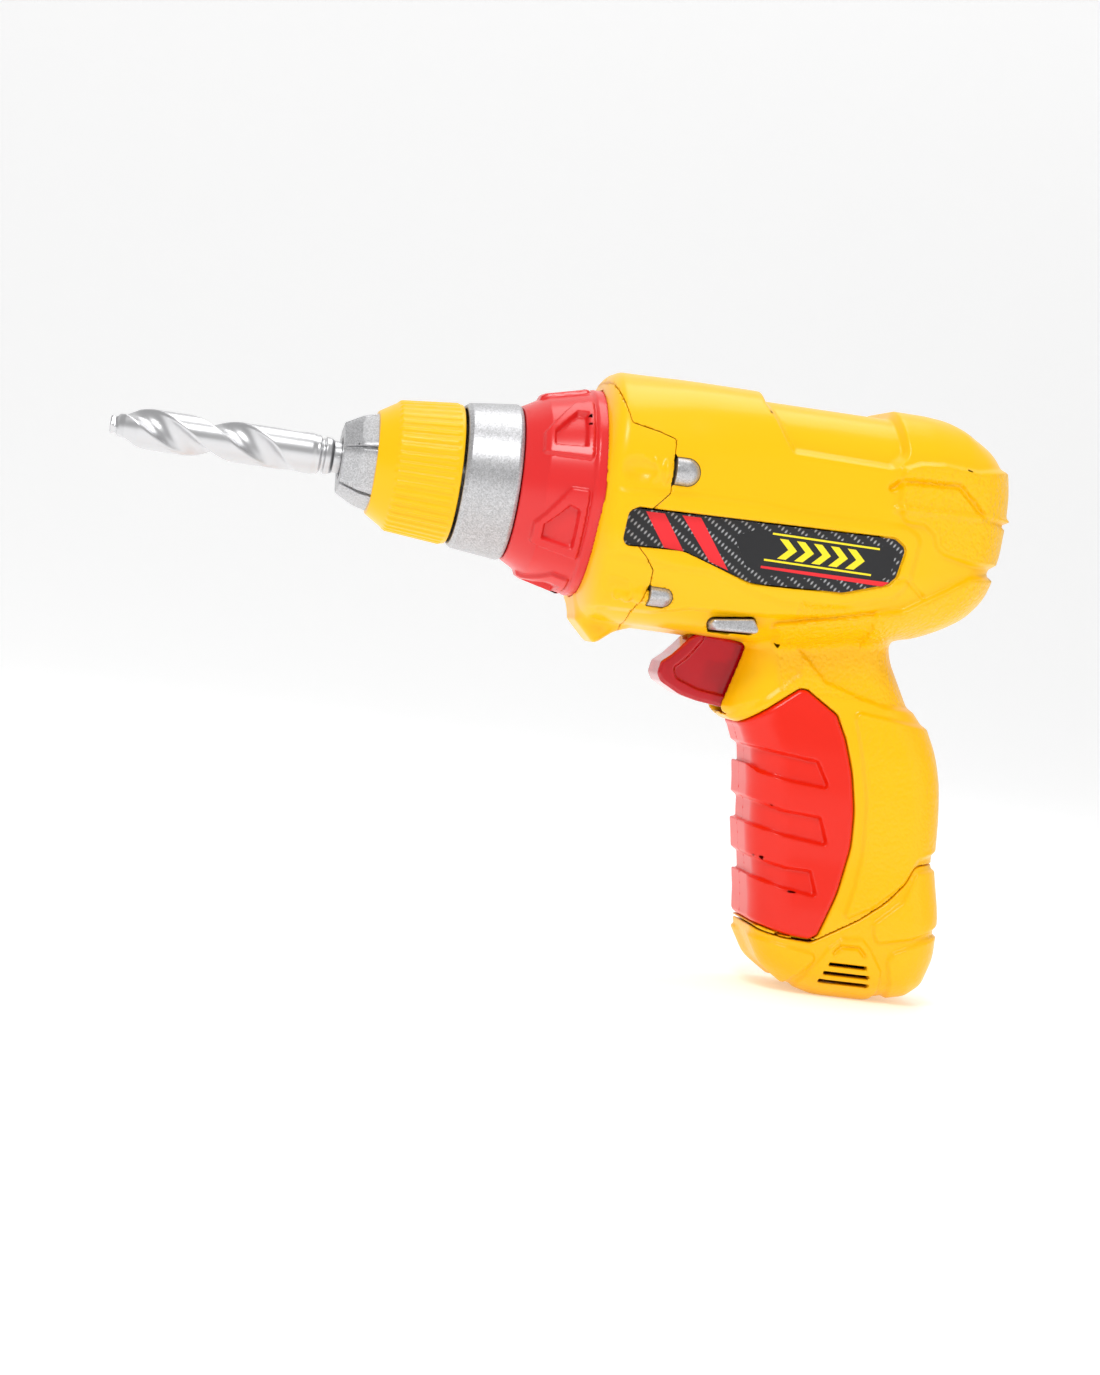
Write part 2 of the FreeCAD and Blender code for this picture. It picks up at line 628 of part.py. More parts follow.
# ------------------------------------------------------------------ chuck and bit
def make_chuck():
    """Faceted nose with the core and socket, and the ribbed sleeve round it."""
    front, rear = 0.0, sleeve_rear_x
    nose_end = nose_length + 1.0
    cone = turned([(front, 0), (front, nose_front_r + 1.0), (nose_end, nose_rear_r + 0.8), (nose_end, 0)])
    wires = []
    facet_angle = 2 * math.pi / nose_facets
    for x, r in ((front, nose_front_r), (nose_end, nose_rear_r)):
        corner_r = r / math.cos(facet_angle / 2)
        points = [V(x, corner_r * math.cos(facet_angle * k), corner_r * math.sin(facet_angle * k))
                  for k in range(nose_facets + 1)]
        wires.append(Part.makePolygon(points))
    nose = Part.makeLoft(wires, True, True).common(cone)
    core = cylinder(V(nose_length + 0.5, 0, 0), X_AXIS, core_r, rear - nose_length - 2.5)
    nose = nose.fuse(core)
    nose = nose.cut(cylinder(V(-1, 0, 0), X_AXIS, nose_mouth_r - 2.2, 1 + bit_collar_length + 0.4))
    socket = hexagon_prism(0, bit_collar_length + socket_depth + 2.0, socket_flats)
    nose = nose.cut(socket)
    nose_slope = math.degrees(math.atan2(nose_rear_r - nose_front_r, nose_end))
    for k in range(nose_facets):
        groove = Part.makeBox(nose_length + 4, nose_groove, 3.0, V(-2, -nose_groove / 2, nose_front_r - 0.9))
        groove.rotate(V(0, 0, nose_front_r), Y_AXIS, -nose_slope)
        groove.rotate(V(0, 0, 0), X_AXIS, math.degrees(facet_angle * (k + 0.5)) + 60)
        nose = nose.cut(groove)
    knee = sleeve_front_x + sleeve_knee_length
    t = sleeve_wall
    face_x = sleeve_front_x + 1.0
    outside = [(face_x, core_r), (face_x, nose_rear_r - 1.0), (sleeve_front_x + 0.6, sleeve_front_r),
               (knee, sleeve_knee_r), (rear, sleeve_rear_r), (rear, sleeve_rear_r - t),
               (knee, sleeve_knee_r - t), (face_x + t, sleeve_front_r - t - 0.4), (face_x + t, core_r)]
    sleeve = turned(outside)
    disc = ring(rear - 4.0, rear - 2.0, sleeve_rear_r - t / 2, core_r)
    sleeve = sleeve.fuse(disc)
    ribs = []
    slope = math.degrees(math.atan2(sleeve_rear_r - sleeve_knee_r, rear - knee))
    for k in range(sleeve_ribs):
        rib = cylinder(V(knee + 1.0, 0, sleeve_knee_r), X_AXIS, rib_height * 1.4, rear - knee - 2.0)
        rib.rotate(V(knee, 0, sleeve_knee_r), Y_AXIS, -slope)
        rib.rotate(V(0, 0, 0), X_AXIS, 360 * k / sleeve_ribs)
        ribs.append(rib)
    sleeve = sleeve.fuse(Part.makeCompound(ribs))
    sleeve = Part.Compound([sleeve]).cut(nose)
    spindle_start = rear - 8.0
    nose = nose.cut(cylinder(V(spindle_start, 0, 0), X_AXIS, spindle_r, 10))
    spindle_end = output_gear_x + gear_width + 1.5
    spindle = cylinder(V(spindle_start, 0, 0), X_AXIS, spindle_r, spindle_end - spindle_start)
    collar = cylinder(V(rear - 2.0, 0, 0), X_AXIS, spindle_r + 2.5, 1.8)
    spindle = spindle.fuse(collar)
    flat = box(output_gear_x - 0.1, 200, -5, 5, spindle_r - 0.6, 5)
    spindle = spindle.cut(flat)
    wheel = gear(wheel_teeth, gear_module_out, output_gear_x, gear_width, 0, 0, 360 / wheel_teeth / 2, 0.5)
    wheel = wheel.cut(spindle)
    wheel = wheel.cut(ring(output_gear_x - 1, output_gear_x + 1.2, out_r - 2.5, spindle_r + 3))
    return nose, sleeve, spindle, wheel


def make_bit():
    """Twist bit: two-flute body, short chisel tip, round shank, notched neck, collar and hexagonal tang."""
    flute_end = -bit_neck_length - bit_shank_length
    flute_start = flute_end - bit_flute_length
    core = cylinder(V(flute_start, 0, 0), X_AXIS, bit_flute_r, bit_flute_length)
    sections = 18
    wires = []
    for k in range(sections + 1):
        x = flute_start + bit_flute_length * k / sections
        turn = 360 * (x - flute_start) / bit_pitch
        wide, thin = bit_flute_r, bit_web_r
        corners = [(-wide, -thin * 0.55, 1.0), (wide * 0.2, -thin, 4.0), (wide, -thin * 0.55, 1.0),
                   (wide, thin * 0.55, 1.0), (-wide * 0.2, thin, 4.0), (-wide, thin * 0.55, 1.0)]
        c, s = math.cos(math.radians(turn)), math.sin(math.radians(turn))
        wires.append(outline(corners, lambda a, b, x=x, c=c, s=s: V(x, a * c - b * s, a * s + b * c)))
    body = Part.makeLoft(wires, True, False).common(core)
    shank = cylinder(V(flute_end - 1.5, 0, 0), X_AXIS, bit_flute_r * 0.97, 5.5)
    shank = shank.fuse(cylinder(V(flute_end + 3.5, 0, 0), X_AXIS, bit_shank_r, bit_shank_length - 3.0))
    neck = cylinder(V(-bit_neck_length - 1.0, 0, 0), X_AXIS, bit_neck_r, bit_neck_length + 2.0)
    tip = Part.makeBox(bit_tip_length + 1.0, bit_tip_side, bit_tip_side * 0.6,
                       V(flute_start - bit_tip_length, -bit_tip_side / 2, -bit_tip_side * 0.3))
    tang = hexagon_prism(0.5, bit_collar_length + socket_depth, socket_flats - 2 * bit_fit)
    notch = ring(-bit_neck_length - 5.0, -bit_neck_length - 4.0, bit_shank_r + 1, bit_shank_r - 0.8)
    return fused([body, shank, neck, tip, tang]).cut(notch)


def make_nose_rings():
    """Silver band and hollow red light ring, both fixed to the housing."""
    edge = 0.6
    band = turned([(band_front_x, band_front_r - band_wall), (band_front_x, band_front_r - 0.5),
                   (band_front_x + edge, band_front_r), (band_rear_x - edge, band_rear_r),
                   (band_rear_x, band_rear_r - 0.5), (band_rear_x, band_rear_r - band_wall - 0.4)])
    disc = ring(band_rear_x - 2.4, band_rear_x - 0.8, band_rear_r - band_wall, spindle_r + 3.0)
    band = band.fuse(disc)
    knee_x, knee_r = band_rear_x + 5.8, lens_front_r + 3.0
    t = lens_wall
    end = housing_front_x + 1.6
    lip_end, lip_r = end + lens_lip_length, lens_rear_r + lens_lip
    bore = spindle_r + 4.0
    lens = turned([(band_rear_x, bore), (band_rear_x, lens_front_r), (knee_x, knee_r),
                   (lens_rear_x, lens_rear_r), (end, lens_rear_r), (end, lip_r), (lip_end, lip_r),
                   (lip_end, lens_rear_r - t), (lens_rear_x, lens_rear_r - t), (knee_x + 0.8, knee_r - t),
                   (band_rear_x + t, lens_front_r - t), (band_rear_x + t, bore)])
    slope = math.degrees(math.atan2(lens_rear_r - knee_r, lens_rear_x - knee_x))
    for k in range(lens_pockets):
        pocket = Part.makeBox(8.4, 14.0, 4.0, V(knee_x + 1.6, -7.0, knee_r - pocket_depth))
        pocket.rotate(V(knee_x, 0, knee_r), Y_AXIS, -slope)
        pocket.rotate(V(0, 0, 0), X_AXIS, 360 * (k + 0.35) / lens_pockets)
        lens = lens.cut(pocket)
    return band, lens


# ------------------------------------------------------------------ drive
def plate(x, bearing_holes):
    """Round bearing plate with flats; bearing_holes are (z, radius)."""
    shape = cylinder(V(x, 0, 0), X_AXIS, plate_r, plate_thickness)
    for z, radius in bearing_holes:
        shape = shape.cut(cylinder(V(x - 1, 0, z), X_AXIS, radius, plate_thickness + 2))
    return shape


def pillar_places():
    """(y, z) of the two spacers between the bearing plates."""
    reach = plate_r - 4.5
    return [(side * reach * math.cos(math.radians(30)), reach / 2 + 5.0) for side in (1, -1)]


def make_drive():
    """Gearbox plates, spacers, idler, axle, motor and pinion."""
    bush = ring(plate_x - 1.2, plate_x + plate_thickness + 0.8, spindle_r + 2.2, spindle_r + bearing_gap)
    front_plate = plate(plate_x, [(0, spindle_r + 2.2)])
    axle = cylinder(V(plate_x, 0, idler_z), X_AXIS, axle_r, rear_plate_x + plate_thickness - plate_x)
    front_plate = front_plate.cut(axle)
    between_walls = box(-100, 400, -plate_r + 0.8, plate_r - 0.8, -50, 50)
    front_plate = front_plate.common(between_walls)
    rear = plate(rear_plate_x, [(motor_z, motor_boss_r + 0.1)]).cut(axle)
    rear = rear.common(between_walls)
    pillars, pillar_screws = [], []
    for y, z in pillar_places():
        tube = ring(0, rear_plate_x - plate_x - plate_thickness, pillar_r, screw_r - 0.1)
        tube.translate(V(plate_x + plate_thickness, y, z))
        pillars.append(tube)
        hole = cylinder(V(plate_x - 5, y, z), X_AXIS, screw_r, 60)
        sink = cylinder(V(plate_x - 5, y, z), X_AXIS, screw_head_r + 0.1, 5 + screw_head_length)
        front_plate, rear = front_plate.cut(hole).cut(sink), rear.cut(hole)
        pillar_screws.append(screw(V(plate_x, y, z), X_AXIS, rear_plate_x - plate_x + 1.5))
    rear = rear.fuse(pillars[0].fuse(pillars[1]))
    for pillar_screw in pillar_screws:
        rear = rear.cut(pillar_screw)
    idler_bore = axle_r + bearing_gap
    small_x = output_gear_x - 0.4
    small = gear(pinion_teeth, gear_module_out, small_x, idler_wheel_x - small_x, 0, idler_z, 90.0, idler_bore)
    big = gear(wheel_teeth, gear_module_in, idler_wheel_x, idler_wheel_width, 0, idler_z, 90.0, idler_bore)
    hub = ring(0, idler_wheel_width + 1.6, 2.4, idler_bore)
    hub.translate(V(idler_wheel_x, 0, idler_z))
    idler = fused([small, big, hub])
    shaft_end = motor_x + motor_can_length + motor_bell_length + 1.0
    shaft = cylinder(V(idler_wheel_x - 0.4, 0, motor_z), X_AXIS, motor_shaft_r, shaft_end - idler_wheel_x)
    pinion = gear(pinion_teeth, gear_module_in, idler_wheel_x, idler_wheel_width + 1.0, 0, motor_z,
                  -90.0 + 180.0 / pinion_teeth, motor_shaft_r)
    can_profile = cylinder(V(motor_x, 0, motor_z), X_AXIS, motor_r, motor_can_length)
    flats = box(0, 400, -motor_flat, motor_flat, -60, 60)
    can = can_profile.common(flats)
    boss = cylinder(V(motor_x - 2.0, 0, motor_z), X_AXIS, motor_boss_r, 2.0)
    hollow = cylinder(V(motor_x + motor_wall, 0, motor_z), X_AXIS, motor_r - motor_wall, motor_can_length)
    hollow = hollow.common(box(0, 400, -motor_flat + motor_wall, motor_flat - motor_wall, -60, 60))
    shaft_way = cylinder(V(motor_x - 5, 0, motor_z), X_AXIS, motor_shaft_r + bearing_gap, 60)
    can = can.fuse(boss).cut(hollow).cut(shaft_way)
    bell_x = motor_x + motor_can_length
    bell = cylinder(V(bell_x, 0, motor_z), X_AXIS, motor_r, motor_bell_length).common(flats)
    terminals = [box(bell_x + motor_bell_length, bell_x + motor_bell_length + 2.5, s * 4 - 1.0, s * 4 + 1.0,
                     motor_z + 2.0, motor_z + 2.5) for s in (-1, 1)]
    bell = bell.cut(shaft_way)
    armature_r = motor_flat - motor_wall - 1.2
    armature = cylinder(V(motor_x + 3.5, 0, motor_z), X_AXIS, armature_r, motor_can_length - 6.0)
    for k in range(3):
        slot = box(0, 400, -0.9, 0.9, 2.6, 20)
        slot.rotate(V(0, 0, 0), X_AXIS, 120 * k + 30)
        slot.translate(V(0, 0, motor_z))
        armature = armature.cut(slot)
    rotor = shaft.fuse(armature)
    return {"bearing_bush": bush, "gearbox_plate_front": front_plate, "gearbox_frame": rear,
            "gearbox_screws": Part.makeCompound(pillar_screws), "idler_axle": axle, "idler_gear": idler,
            "motor_rotor": rotor, "motor_pinion": pinion, "motor_can": can, "motor_end_bell": bell,
            "motor_terminals": Part.makeCompound(terminals)}


# ------------------------------------------------------------------ batteries and electrics
def leaf_spring(centre, away, start):
    """Bowed strip that touches a cell's flat end at start and stands on the contact plate beyond it."""
    foot = start + leaf_height + contact_thickness / 2
    under = start + leaf_thickness
    corners = [(-leaf_foot, foot), (-leaf_top, start, 1.0), (leaf_top, start, 1.0), (leaf_foot, foot),
               (leaf_foot - 0.6, foot), (leaf_top - 0.2, under, 0.7), (0.2 - leaf_top, under, 0.7),
               (0.6 - leaf_foot, foot)]
    edge = centre + V(0, -leaf_width / 2, 0)
    wire_loop = outline(corners, lambda across, along: edge + ACROSS_HANDLE * across + away * along)
    return Part.Face(wire_loop).extrude(V(0, leaf_width, 0))


def cell_centres():
    pitch = cell_r + tray_clearance / 2 + 0.3
    return [HANDLE_CENTRE + ACROSS_HANDLE * (s * pitch) for s in (-1, 1)]


def make_power():
    """Two cells in an open tray, their contacts, circuit board, speaker, switches and lamps."""
    cells, rooms, contacts = [], [], []
    half_length = cell_length / 2
    for s, centre in zip((-1, 1), cell_centres()):
        start = centre - DOWN_HANDLE * (half_length * s)
        away = DOWN_HANDLE * s
        nub = cylinder(start - away * cell_nub_length, away, cell_nub_r, cell_nub_length)
        cells.append(cylinder(start, away, cell_r, cell_length).fuse(nub))
        room_start = centre - DOWN_HANDLE * (half_length + 4.0)
        rooms.append(cylinder(room_start, DOWN_HANDLE, cell_r + tray_clearance / 2, cell_length + 7.0))
        bow_start = half_length + contact_gap
        pad_start = bow_start + leaf_height
        pad = cylinder(centre + away * pad_start, away, contact_r, contact_thickness)
        contacts.append(fused([leaf_spring(centre, away, bow_start), pad]))
        pad_start = half_length + cell_nub_length + contact_gap
        contacts.append(cylinder(centre - away * pad_start, away * -1, contact_r, contact_thickness))
    width = 2 * (2 * cell_r + tray_clearance + 0.5) + 2 * tray_wall
    depth = cell_r + tray_clearance / 2 + tray_wall
    height = cell_length + 6.4 + 2 * tray_wall
    tray = Part.makeBox(width, depth, height, V(-width / 2, 0, -height / 2))
    turn = FreeCAD.Rotation(ACROSS_HANDLE, Y_AXIS, DOWN_HANDLE * -1)
    tray.Placement = FreeCAD.Placement(HANDLE_CENTRE, turn)
    for room in rooms:
        tray = tray.cut(room)
    for contact in contacts:
        tray = tray.cut(contact)
    return Part.makeCompound(cells), Part.makeCompound(contacts), tray


def make_electrics():
    board = box(board_x, board_x + board_side, -board_side / 2, board_side / 2, board_z, board_top)
    chips = [box(board_x + 9, board_x + 16, -4, 4, board_top, board_top + 1.6),
             box(board_x + 20, board_x + 23, 5, 9, board_top, board_top + 1.4),
             cylinder(V(board_x + 25, -7, board_top), Z_AXIS, 2.5, 8.0),
             cylinder(V(board_x + 5, 9, board_top), Z_AXIS, 2.0, 6.0)]
    speaker_x, speaker_z = base_middle_x + speaker_shift, base_bottom + speaker_height
    cone = cylinder(V(speaker_x, 0, speaker_z), Z_AXIS, speaker_r, speaker_rim).fuse(
        cylinder(V(speaker_x, 0, speaker_z + speaker_rim), Z_AXIS, speaker_magnet_r, 4.0))
    cone = cone.cut(Part.makeCone(speaker_r - 1.5, 5.0, 1.5, V(speaker_x, 0, speaker_z - 0.01), Z_AXIS))
    lamps = []
    for side in (-1, 1):
        dome = V(plate_x - 11.0, side * 14, 8)
        lamp = cylinder(dome, X_AXIS, lamp_r, 6.0).fuse(Part.makeSphere(lamp_r, dome))
        lamps.append(lamp.fuse(cylinder(dome + V(5.4, 0, 0), X_AXIS, lamp_r + 0.4, 0.8)))
    lamp_board = ring(plate_x - 4.8, plate_x - 3.2, 19.5, spindle_r + 4.5)
    return board, Part.makeCompound(chips), cone, Part.makeCompound(lamps), lamp_board


def wire(points, radius):
    """One insulated wire through the given points."""
    curve = Part.BSplineCurve()
    curve.interpolate(points)
    path = curve.toShape()
    profile = Part.Wire([Part.makeCircle(radius, points[0], path.tangentAt(path.FirstParameter))])
    return Part.Wire([path]).makePipeShell([profile], True, True)


def make_wires():
    """Motor leads, switch lead, battery lead and speaker lead."""
    bell_end = motor_x + motor_can_length + motor_bell_length
    lead_z = motor_z + 3.0
    switch_x, switch_z = housing_front_x + 67.0, barrel_bottom - 6.0
    runs = []
    for y in (-4.0, 4.0):
        runs.append([V(bell_end + 1.5, y, lead_z), V(bell_end + 8.0, y, lead_z + 1.5),
                     V(board_x - 0.6, y, board_z + 0.8)])
    runs.append([V(switch_x, 2, switch_z + 0.6), V(switch_x + 1.0, 3, switch_z + 20.0),
                 V(switch_x + 12.0, 3, board_z - 1.0)])
    speaker_top = base_bottom + speaker_height + speaker_rim
    speaker_run = [V(board_x + 13.0, -9.0, board_z - 1.0), V(board_x + 8.0, -10.5, -30.0),
                   V(HANDLE_CENTRE.x + 1.0, -11.3, handle_middle_z),
                   V(base_middle_x - 2.0, -10.8, base_bottom + 19.5),
                   V(base_middle_x + speaker_shift, -speaker_magnet_r - 1.6, speaker_top + 1.2)]
    leads = Part.makeCompound([wire(run, wire_r) for run in runs])
    return leads, wire(speaker_run, speaker_lead_r)


def sprung(coil, radius):
    """Round spring wire along a helix."""
    first = coil.Edges[0]
    start = first.FirstParameter
    profile = Part.Wire([Part.makeCircle(radius, first.valueAt(start), first.tangentAt(start))])
    return Part.Wire(coil.Edges).makePipeShell([profile], True, True)


def make_trigger():
    outline_now = trigger_outline()
    trigger = side_prism(outline_now, -trigger_half_width, trigger_half_width)
    x, z = housing_front_x, barrel_bottom
    pocket = cylinder(V(x + 51, 0, z - 9.0), V(-1, 0, 0), 3.4, 12.0)
    trigger = trigger.cut(pocket)
    spring_x0, spring_x1 = x + 39.3, x + 61.0
    turns = 7
    length = spring_x1 - spring_x0 - 2 * spring_wire_r
    coil = Part.makeHelix(length / turns, length, 2.2)
    coil_start = V(spring_x0 + spring_wire_r, 0, z - 9.0)
    coil.Placement = FreeCAD.Placement(coil_start, FreeCAD.Rotation(Z_AXIS, X_AXIS))
    spring = sprung(coil, spring_wire_r)
    seat = box(spring_x1 + 0.3, spring_x1 + 2.0, -15, 15, z - 14.0, z - 2.0)
    switch = box(spring_x1 + 2.0, spring_x1 + 8.0, -5, 5, z - 13.0, z - 6.0)
    return trigger, spring, seat, switch


def make_button():
    """Direction button through both flanks, with a waist that the switch holds."""
    length = barrel_half_width - 4.4 + button_proud
    shape = side_prism(button_outline(0), -length, length - button_travel + 0.4)
    z = barrel_bottom + 4.8
    x = housing_front_x + 40.0
    switch = box(x - 4.0, x + 4.0, -4.5, 4.5, z + 3.2, z + 8.2)
    return shape, switch


def sound_slots():
    """Three slots through both sides of the base, in front of the speaker."""
    middle = base_middle_x + 2.0
    slots = []
    for height, length in ((9.6, 10.5), (7.1, 12.7), (4.7, 14.0)):
        z = base_bottom + height
        slots.append(box(middle - length / 2, middle + length / 2, -60, 60, z - slot_width / 2, z + slot_width / 2))
    return slots


def make_labels():
    labels = []
    for side in (-1, 1):
        near = side * (barrel_half_width - label_recess)
        labels.append(side_prism(label_outline(0), near, near + side * label_thickness))
    return labels


# ------------------------------------------------------------------ build
def main():
    os.makedirs("parts", exist_ok=True)
    outer, inner, left, right, cover, nose, grips, screws = make_shells()
    chuck_nose, sleeve, spindle, wheel = make_chuck()
    band, lens = make_nose_rings()
    trigger, spring, seat, switch = make_trigger()
    button, button_switch = make_button()
    cells, contacts, tray = make_power()
    board, chips, speaker, lamps, lamp_board = make_electrics()
    drive = make_drive()
    wires, speaker_lead = make_wires()
    for slot in sound_slots():
        cover = cover.cut(slot)
    taken = [grips, tray, drive["gearbox_frame"], drive["gearbox_plate_front"], cover, wires, speaker_lead]
    left = left.fuse(half(seat, -1).common(outer))
    right = right.fuse(half(seat, 1).common(outer))
    for piece in taken:
        left, right = left.cut(piece), right.cut(piece)
    labels = make_labels()
    export("housing_left", left)
    export("housing_right", right)
    export("nose_cover", nose)
    export("battery_cover", cover)
    export("grip_left", half(grips, -1))
    export("grip_right", half(grips, 1))
    export("label_left", labels[0])
    export("label_right", labels[1])
    export("housing_screws", screws)
    studs = []
    for place, reach in zip(stud_places(), stud_reach):
        room = box(-100, 300, -reach, reach, -50, 50)
        studs.append([stud(place, side, 0, flank_depth(place[1])).common(room) for side in (-1, 1)])
    export("studs_upper", Part.makeCompound(studs[0]))
    export("studs_lower", Part.makeCompound(studs[1]))
    export("chuck_nose", chuck_nose)
    export("chuck_sleeve", sleeve)
    export("spindle", spindle)
    export("output_gear", wheel)
    export("twist_bit", make_bit())
    export("silver_band", band)
    export("light_ring", lens)
    export("trigger", trigger)
    export("trigger_spring", spring)
    export("trigger_switch", switch)
    export("direction_button", button)
    export("direction_switch", button_switch)
    export("battery_cells", cells)
    export("battery_contacts", contacts)
    export("battery_tray", tray)
    export("circuit_board", board)
    export("board_components", chips)
    export("speaker", speaker)
    export("wires", wires)
    export("speaker_lead", speaker_lead)
    export("lamps", lamps)
    export("lamp_board", lamp_board)
    for name, shape in drive.items():
        export(name, shape)


main()
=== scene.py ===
"""Looks of the toy power drill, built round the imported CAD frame.

Moulded pieces are distance fields in drill coordinates: millimetres, x rearwards from the back of the
turning sleeve, y to the right-hand flank, z up from the spindle axis. Meshes are handed over in metres
in the row's frame.
"""
import logging
import math
from dataclasses import dataclass, field
from enum import Enum
from typing import Callable, Optional, Sequence

import bpy
import numpy as np
from mathutils import Matrix, Vector


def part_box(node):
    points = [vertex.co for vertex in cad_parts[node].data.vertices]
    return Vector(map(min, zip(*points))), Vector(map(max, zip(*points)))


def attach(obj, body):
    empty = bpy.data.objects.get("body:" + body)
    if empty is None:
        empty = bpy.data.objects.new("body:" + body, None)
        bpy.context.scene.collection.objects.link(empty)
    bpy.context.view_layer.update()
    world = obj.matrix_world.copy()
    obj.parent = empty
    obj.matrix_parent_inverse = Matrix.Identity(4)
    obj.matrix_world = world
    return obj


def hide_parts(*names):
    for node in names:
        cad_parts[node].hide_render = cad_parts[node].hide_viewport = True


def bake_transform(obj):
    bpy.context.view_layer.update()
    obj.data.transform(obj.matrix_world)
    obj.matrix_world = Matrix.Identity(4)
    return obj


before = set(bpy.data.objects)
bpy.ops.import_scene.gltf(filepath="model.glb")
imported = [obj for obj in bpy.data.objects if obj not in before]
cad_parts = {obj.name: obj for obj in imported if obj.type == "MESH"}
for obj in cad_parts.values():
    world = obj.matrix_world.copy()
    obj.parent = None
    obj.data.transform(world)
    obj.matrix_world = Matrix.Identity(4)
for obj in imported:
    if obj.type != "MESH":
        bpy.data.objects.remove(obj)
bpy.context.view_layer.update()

LOG = logging.getLogger("drill")

MM = 0.001
ORIGIN = np.array([-123.0, 0.0, 124.5])     # drill coordinates' origin in the row's frame, in mm

Array = np.ndarray
Field = Callable[[Array], Array]
Point2 = tuple[float, float]

# (x, z) of the six screws that hold the halves together
SCREWS = ((68.0, 24.5), (125.2, 23.0), (132.7, -14.5), (59.5, -26.7), (117.5, -37.0), (134.5, -60.0))
SETTLE_ROUNDS = 3           # moves of a net's points towards the surface
LONGEST_MOVE = 0.8          # longest move of one round, in steps
LONGEST_SHIFT = 0.62        # longest move of all rounds together, in steps
CREASE = 0.45               # a point this close to both surfaces is drawn to their edge, in steps
NORMAL_REACH = 0.16         # half the span that a shading normal is measured over, in mm
CUT_REACH = 0.1             # the same on a cut face
ASTRAY = 0.6                # a shading normal is dropped below this agreement with the faces


class Side(Enum):
    """Flank of the drill, by the sign of y."""

    LEFT = -1
    RIGHT = 1


# ------------------------------------------------------------------ distance-field tools
def meet(a: Array, b: Array, radius: float | Array) -> Array:
    """Intersection of two fields with a rounded edge.

    Args:
        a: Distance to the first form, negative inside.
        b: Distance to the second form.
        radius: Radius of the edge, one number or one for each point.

    Returns:
        Distance to the intersection.
    """
    outside = np.hypot(np.maximum(a + radius, 0), np.maximum(b + radius, 0))
    return np.minimum(np.maximum(a, b), -radius) + outside


def join(a: Array, b: Array, radius: float | Array) -> Array:
    """Union of two fields with a fillet of the given radius."""
    return -meet(-a, -b, radius)


def ease(t: Array) -> Array:
    """Smooth step of t from 0 at 0 to 1 at 1."""
    t = np.clip(t, 0, 1)
    return t * t * (3 - 2 * t)


def rounded(corners: Sequence[Sequence[float]], radius: float = 0.0) -> Array:
    """Closed outline with its corners rounded.

    Args:
        corners: (a, b) or (a, b, radius) for each corner.
        radius: Radius of the corners that name none.

    Returns:
        The outline's points, n by 2.
    """
    points = [np.array(c[:2], float) for c in corners]
    made: list[Array] = []
    for i, corner in enumerate(corners):
        r = corner[2] if len(corner) > 2 else radius
        here, before, after = points[i], points[i - 1], points[(i + 1) % len(points)]
        u, v = before - here, after - here
        lu, lv = np.linalg.norm(u), np.linalg.norm(v)
        u, v = u / lu, v / lv
        half = math.acos(float(np.clip(u @ v, -1, 1))) / 2
        if r <= 0 or half > math.pi / 2 - 0.03:
            made.append(here)
            continue
        cut = min(r / math.tan(half), 0.48 * min(lu, lv))
        r = cut * math.tan(half)
        middle = (u + v) / np.linalg.norm(u + v)
        centre = here + middle * (r / math.sin(half))
        start, end = here + u * cut - centre, here + v * cut - centre
        a0 = math.atan2(start[1], start[0])
        sweep = (math.atan2(end[1], end[0]) - a0 + math.pi) % (2 * math.pi) - math.pi
        steps = max(2, int(abs(sweep) / 0.22) + 1)
        for k in range(steps + 1):
            angle = a0 + sweep * k / steps
            made.append(centre + r * np.array([math.cos(angle), math.sin(angle)]))
    return np.array(made)


